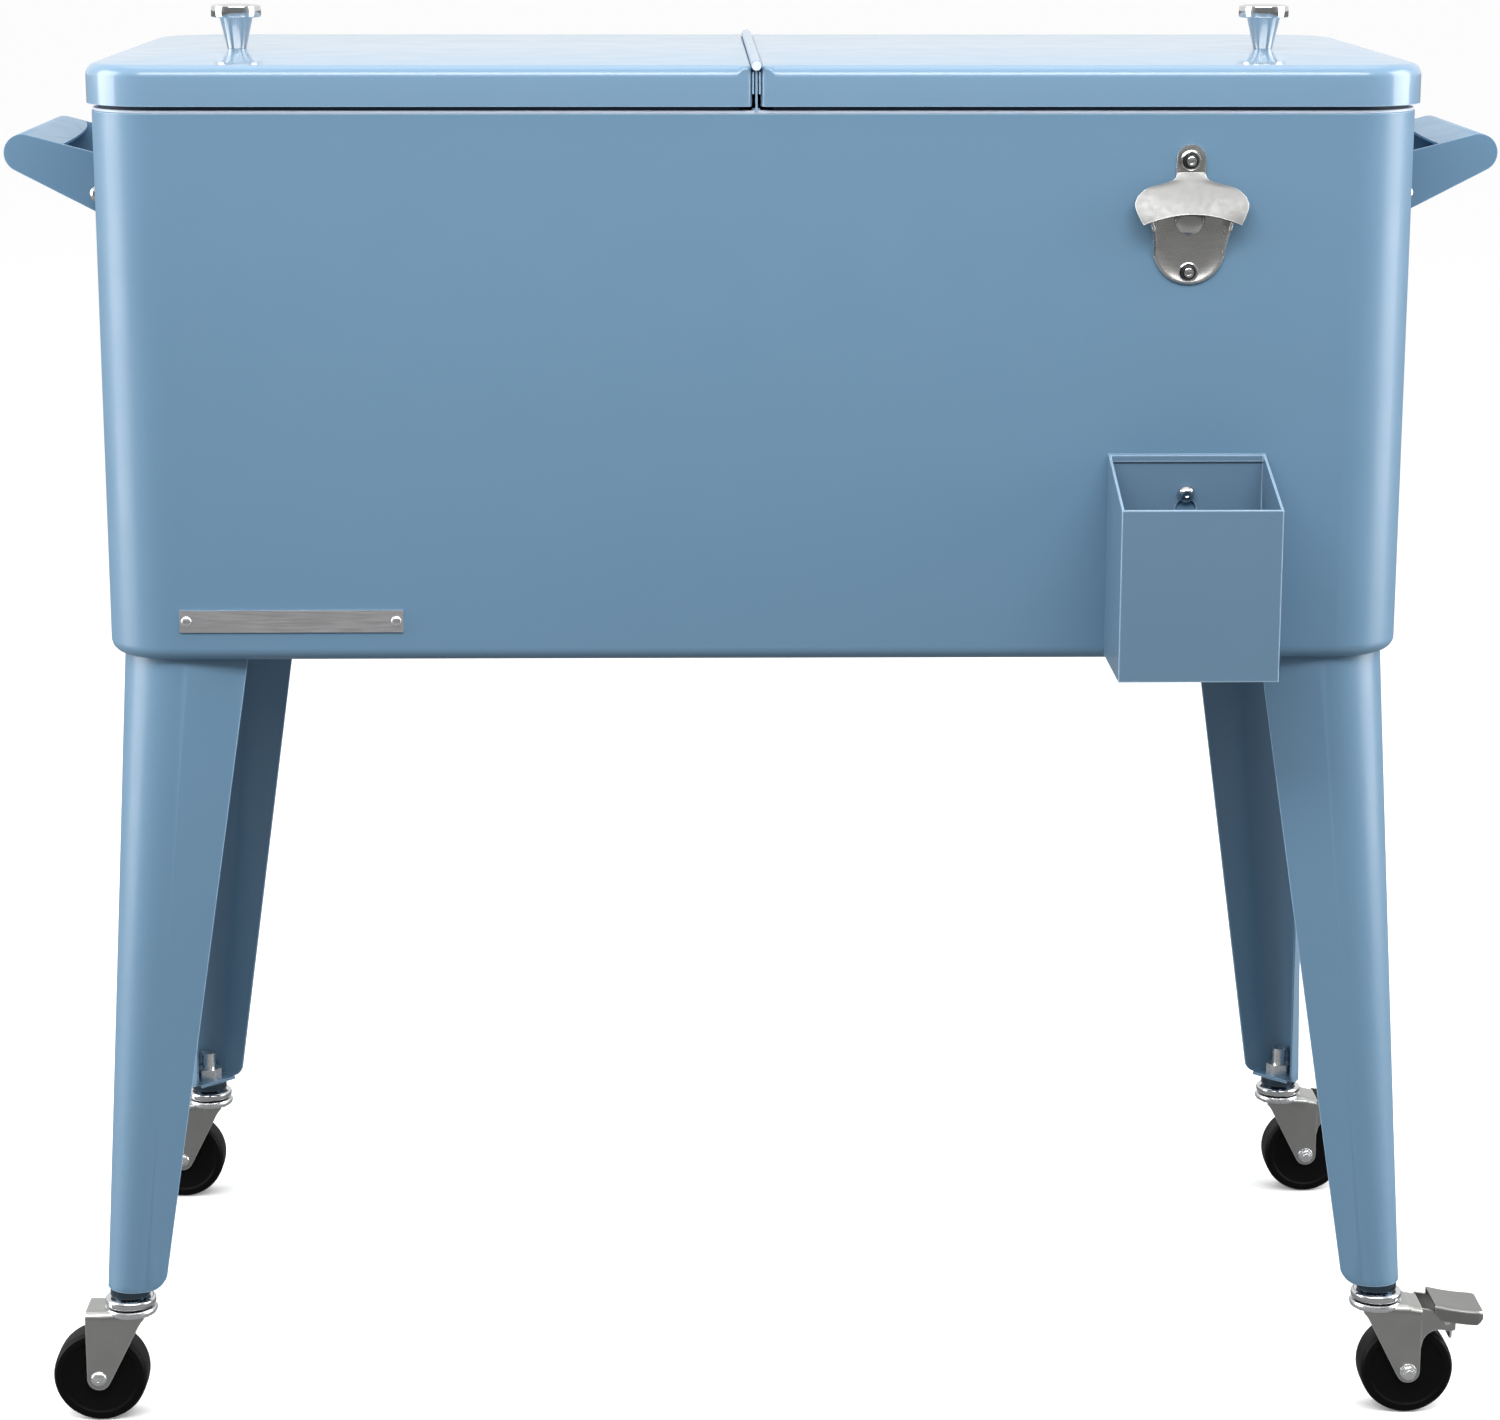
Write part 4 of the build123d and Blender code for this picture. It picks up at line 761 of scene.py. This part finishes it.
def build_world():
    """White studio, dimmer behind the camera so that metal facing it reads darker than metal facing up."""
    world = bpy.data.worlds.new("studio")
    world.use_nodes = True
    tree = world.node_tree

    def node(kind, **settings):
        made = tree.nodes.new(kind)
        for key, value in settings.items():
            setattr(made, key, value)
        return made

    def ranged(value, low, high, to_low, to_high):
        made = node("ShaderNodeMapRange", interpolation_type="SMOOTHSTEP")
        tree.links.new(value, made.inputs["Value"])
        for key, number in zip(("From Min", "From Max", "To Min", "To Max"), (low, high, to_low, to_high)):
            made.inputs[key].default_value = number
        return made.outputs[0]

    split = node("ShaderNodeSeparateXYZ")
    tree.links.new(node("ShaderNodeTexCoord").outputs["Generated"], split.inputs[0])
    depth = ranged(split.outputs["Y"], -0.8, 0.0, 0.24, 1.0)
    above = ranged(split.outputs["Z"], 0.25, 0.7, 0.0, 1.0)
    seen = node("ShaderNodeLightPath").outputs["Is Camera Ray"]
    bright = node("ShaderNodeMath", operation="MAXIMUM")
    tree.links.new(depth, bright.inputs[0])
    tree.links.new(above, bright.inputs[1])
    whole = node("ShaderNodeMath", operation="MAXIMUM")
    tree.links.new(bright.outputs[0], whole.inputs[0])
    tree.links.new(seen, whole.inputs[1])
    tree.links.new(whole.outputs[0], tree.nodes["Background"].inputs["Strength"])
    tree.nodes["Background"].inputs["Color"].default_value = (1.0, 1.0, 1.0, 1)
    bpy.context.scene.world = world


def build_floor():
    """Pale floor, shown nearly white but darker in reflections, so that metal keeps its contrast."""
    size = 30.0
    mesh = bpy.data.meshes.new("floor")
    corners = [(-size, -size, 0), (size, -size, 0), (size, size, 0), (-size, size, 0)]
    mesh.from_pydata(corners, [], [(0, 1, 2, 3)])
    floor = bpy.data.objects.new("floor", mesh)
    bpy.context.scene.collection.objects.link(floor)
    pale = Shader("pale_floor", (0.93, 0.93, 0.93), roughness=0.8)
    pale.vary_roughness(pale.noise(2.0, 2), 0.75, 0.85)
    seen = pale.node("ShaderNodeLightPath").outputs["Is Camera Ray"]
    tone = pale.node("ShaderNodeMapRange", {"Value": seen, "To Min": 0.18, "To Max": 0.98}).outputs[0]
    pale.tree.links.new(tone, pale.surface.inputs["Base Color"])
    pale.set("Emission Color", (1.0, 1.0, 1.0, 1.0))
    glow = pale.node("ShaderNodeMapRange", {"Value": seen, "To Min": 0.0, "To Max": 0.07}).outputs[0]
    pale.tree.links.new(glow, pale.surface.inputs["Emission Strength"])
    mesh.materials.append(pale.material)


def build_lights():
    aim = (CHEST.x, CHEST.y, 0.7)
    area_light("overhead", (0.0, 0.3, 2.6), aim, (2.4, 1.6), 14)
    area_light("front_high", (0.0, -1.25, 1.75), (0.0, -0.2, 0.95), (2.2, 0.5), 30)
    area_light("left", (-2.2, -0.2, 1.1), aim, (1.2, 2.0), 46)
    area_light("right", (2.2, -0.2, 1.1), aim, (1.2, 2.0), 46)
    bpy.context.scene.view_settings.view_transform = "Standard"


def place_camera():
    """Camera nearly square to the front, a little left of centre and looking down."""
    data = bpy.data.cameras.new("camera")
    data.sensor_width = 36.0
    data.lens = 89.69
    camera = bpy.data.objects.new("camera", data)
    bpy.context.scene.collection.objects.link(camera)
    camera.location = (-0.0427, CHEST.y - 2.468, 0.989)
    yaw, pitch, roll = 0.017, 0.227, -0.001
    camera.rotation_euler = Euler((math.pi / 2 - pitch, roll, -yaw), "XYZ")
    bpy.context.scene.camera = camera


dress_packed_nodes()
build_opener()
build_box_screw()
for corner_name in CORNERS:
    build_caster(corner_name)
for lid_side in ("left", "right"):
    build_lid(lid_side)
    build_knob(lid_side)
build_handle_bolts()
build_rivets()
build_floor()
build_world()
build_lights()
place_camera()
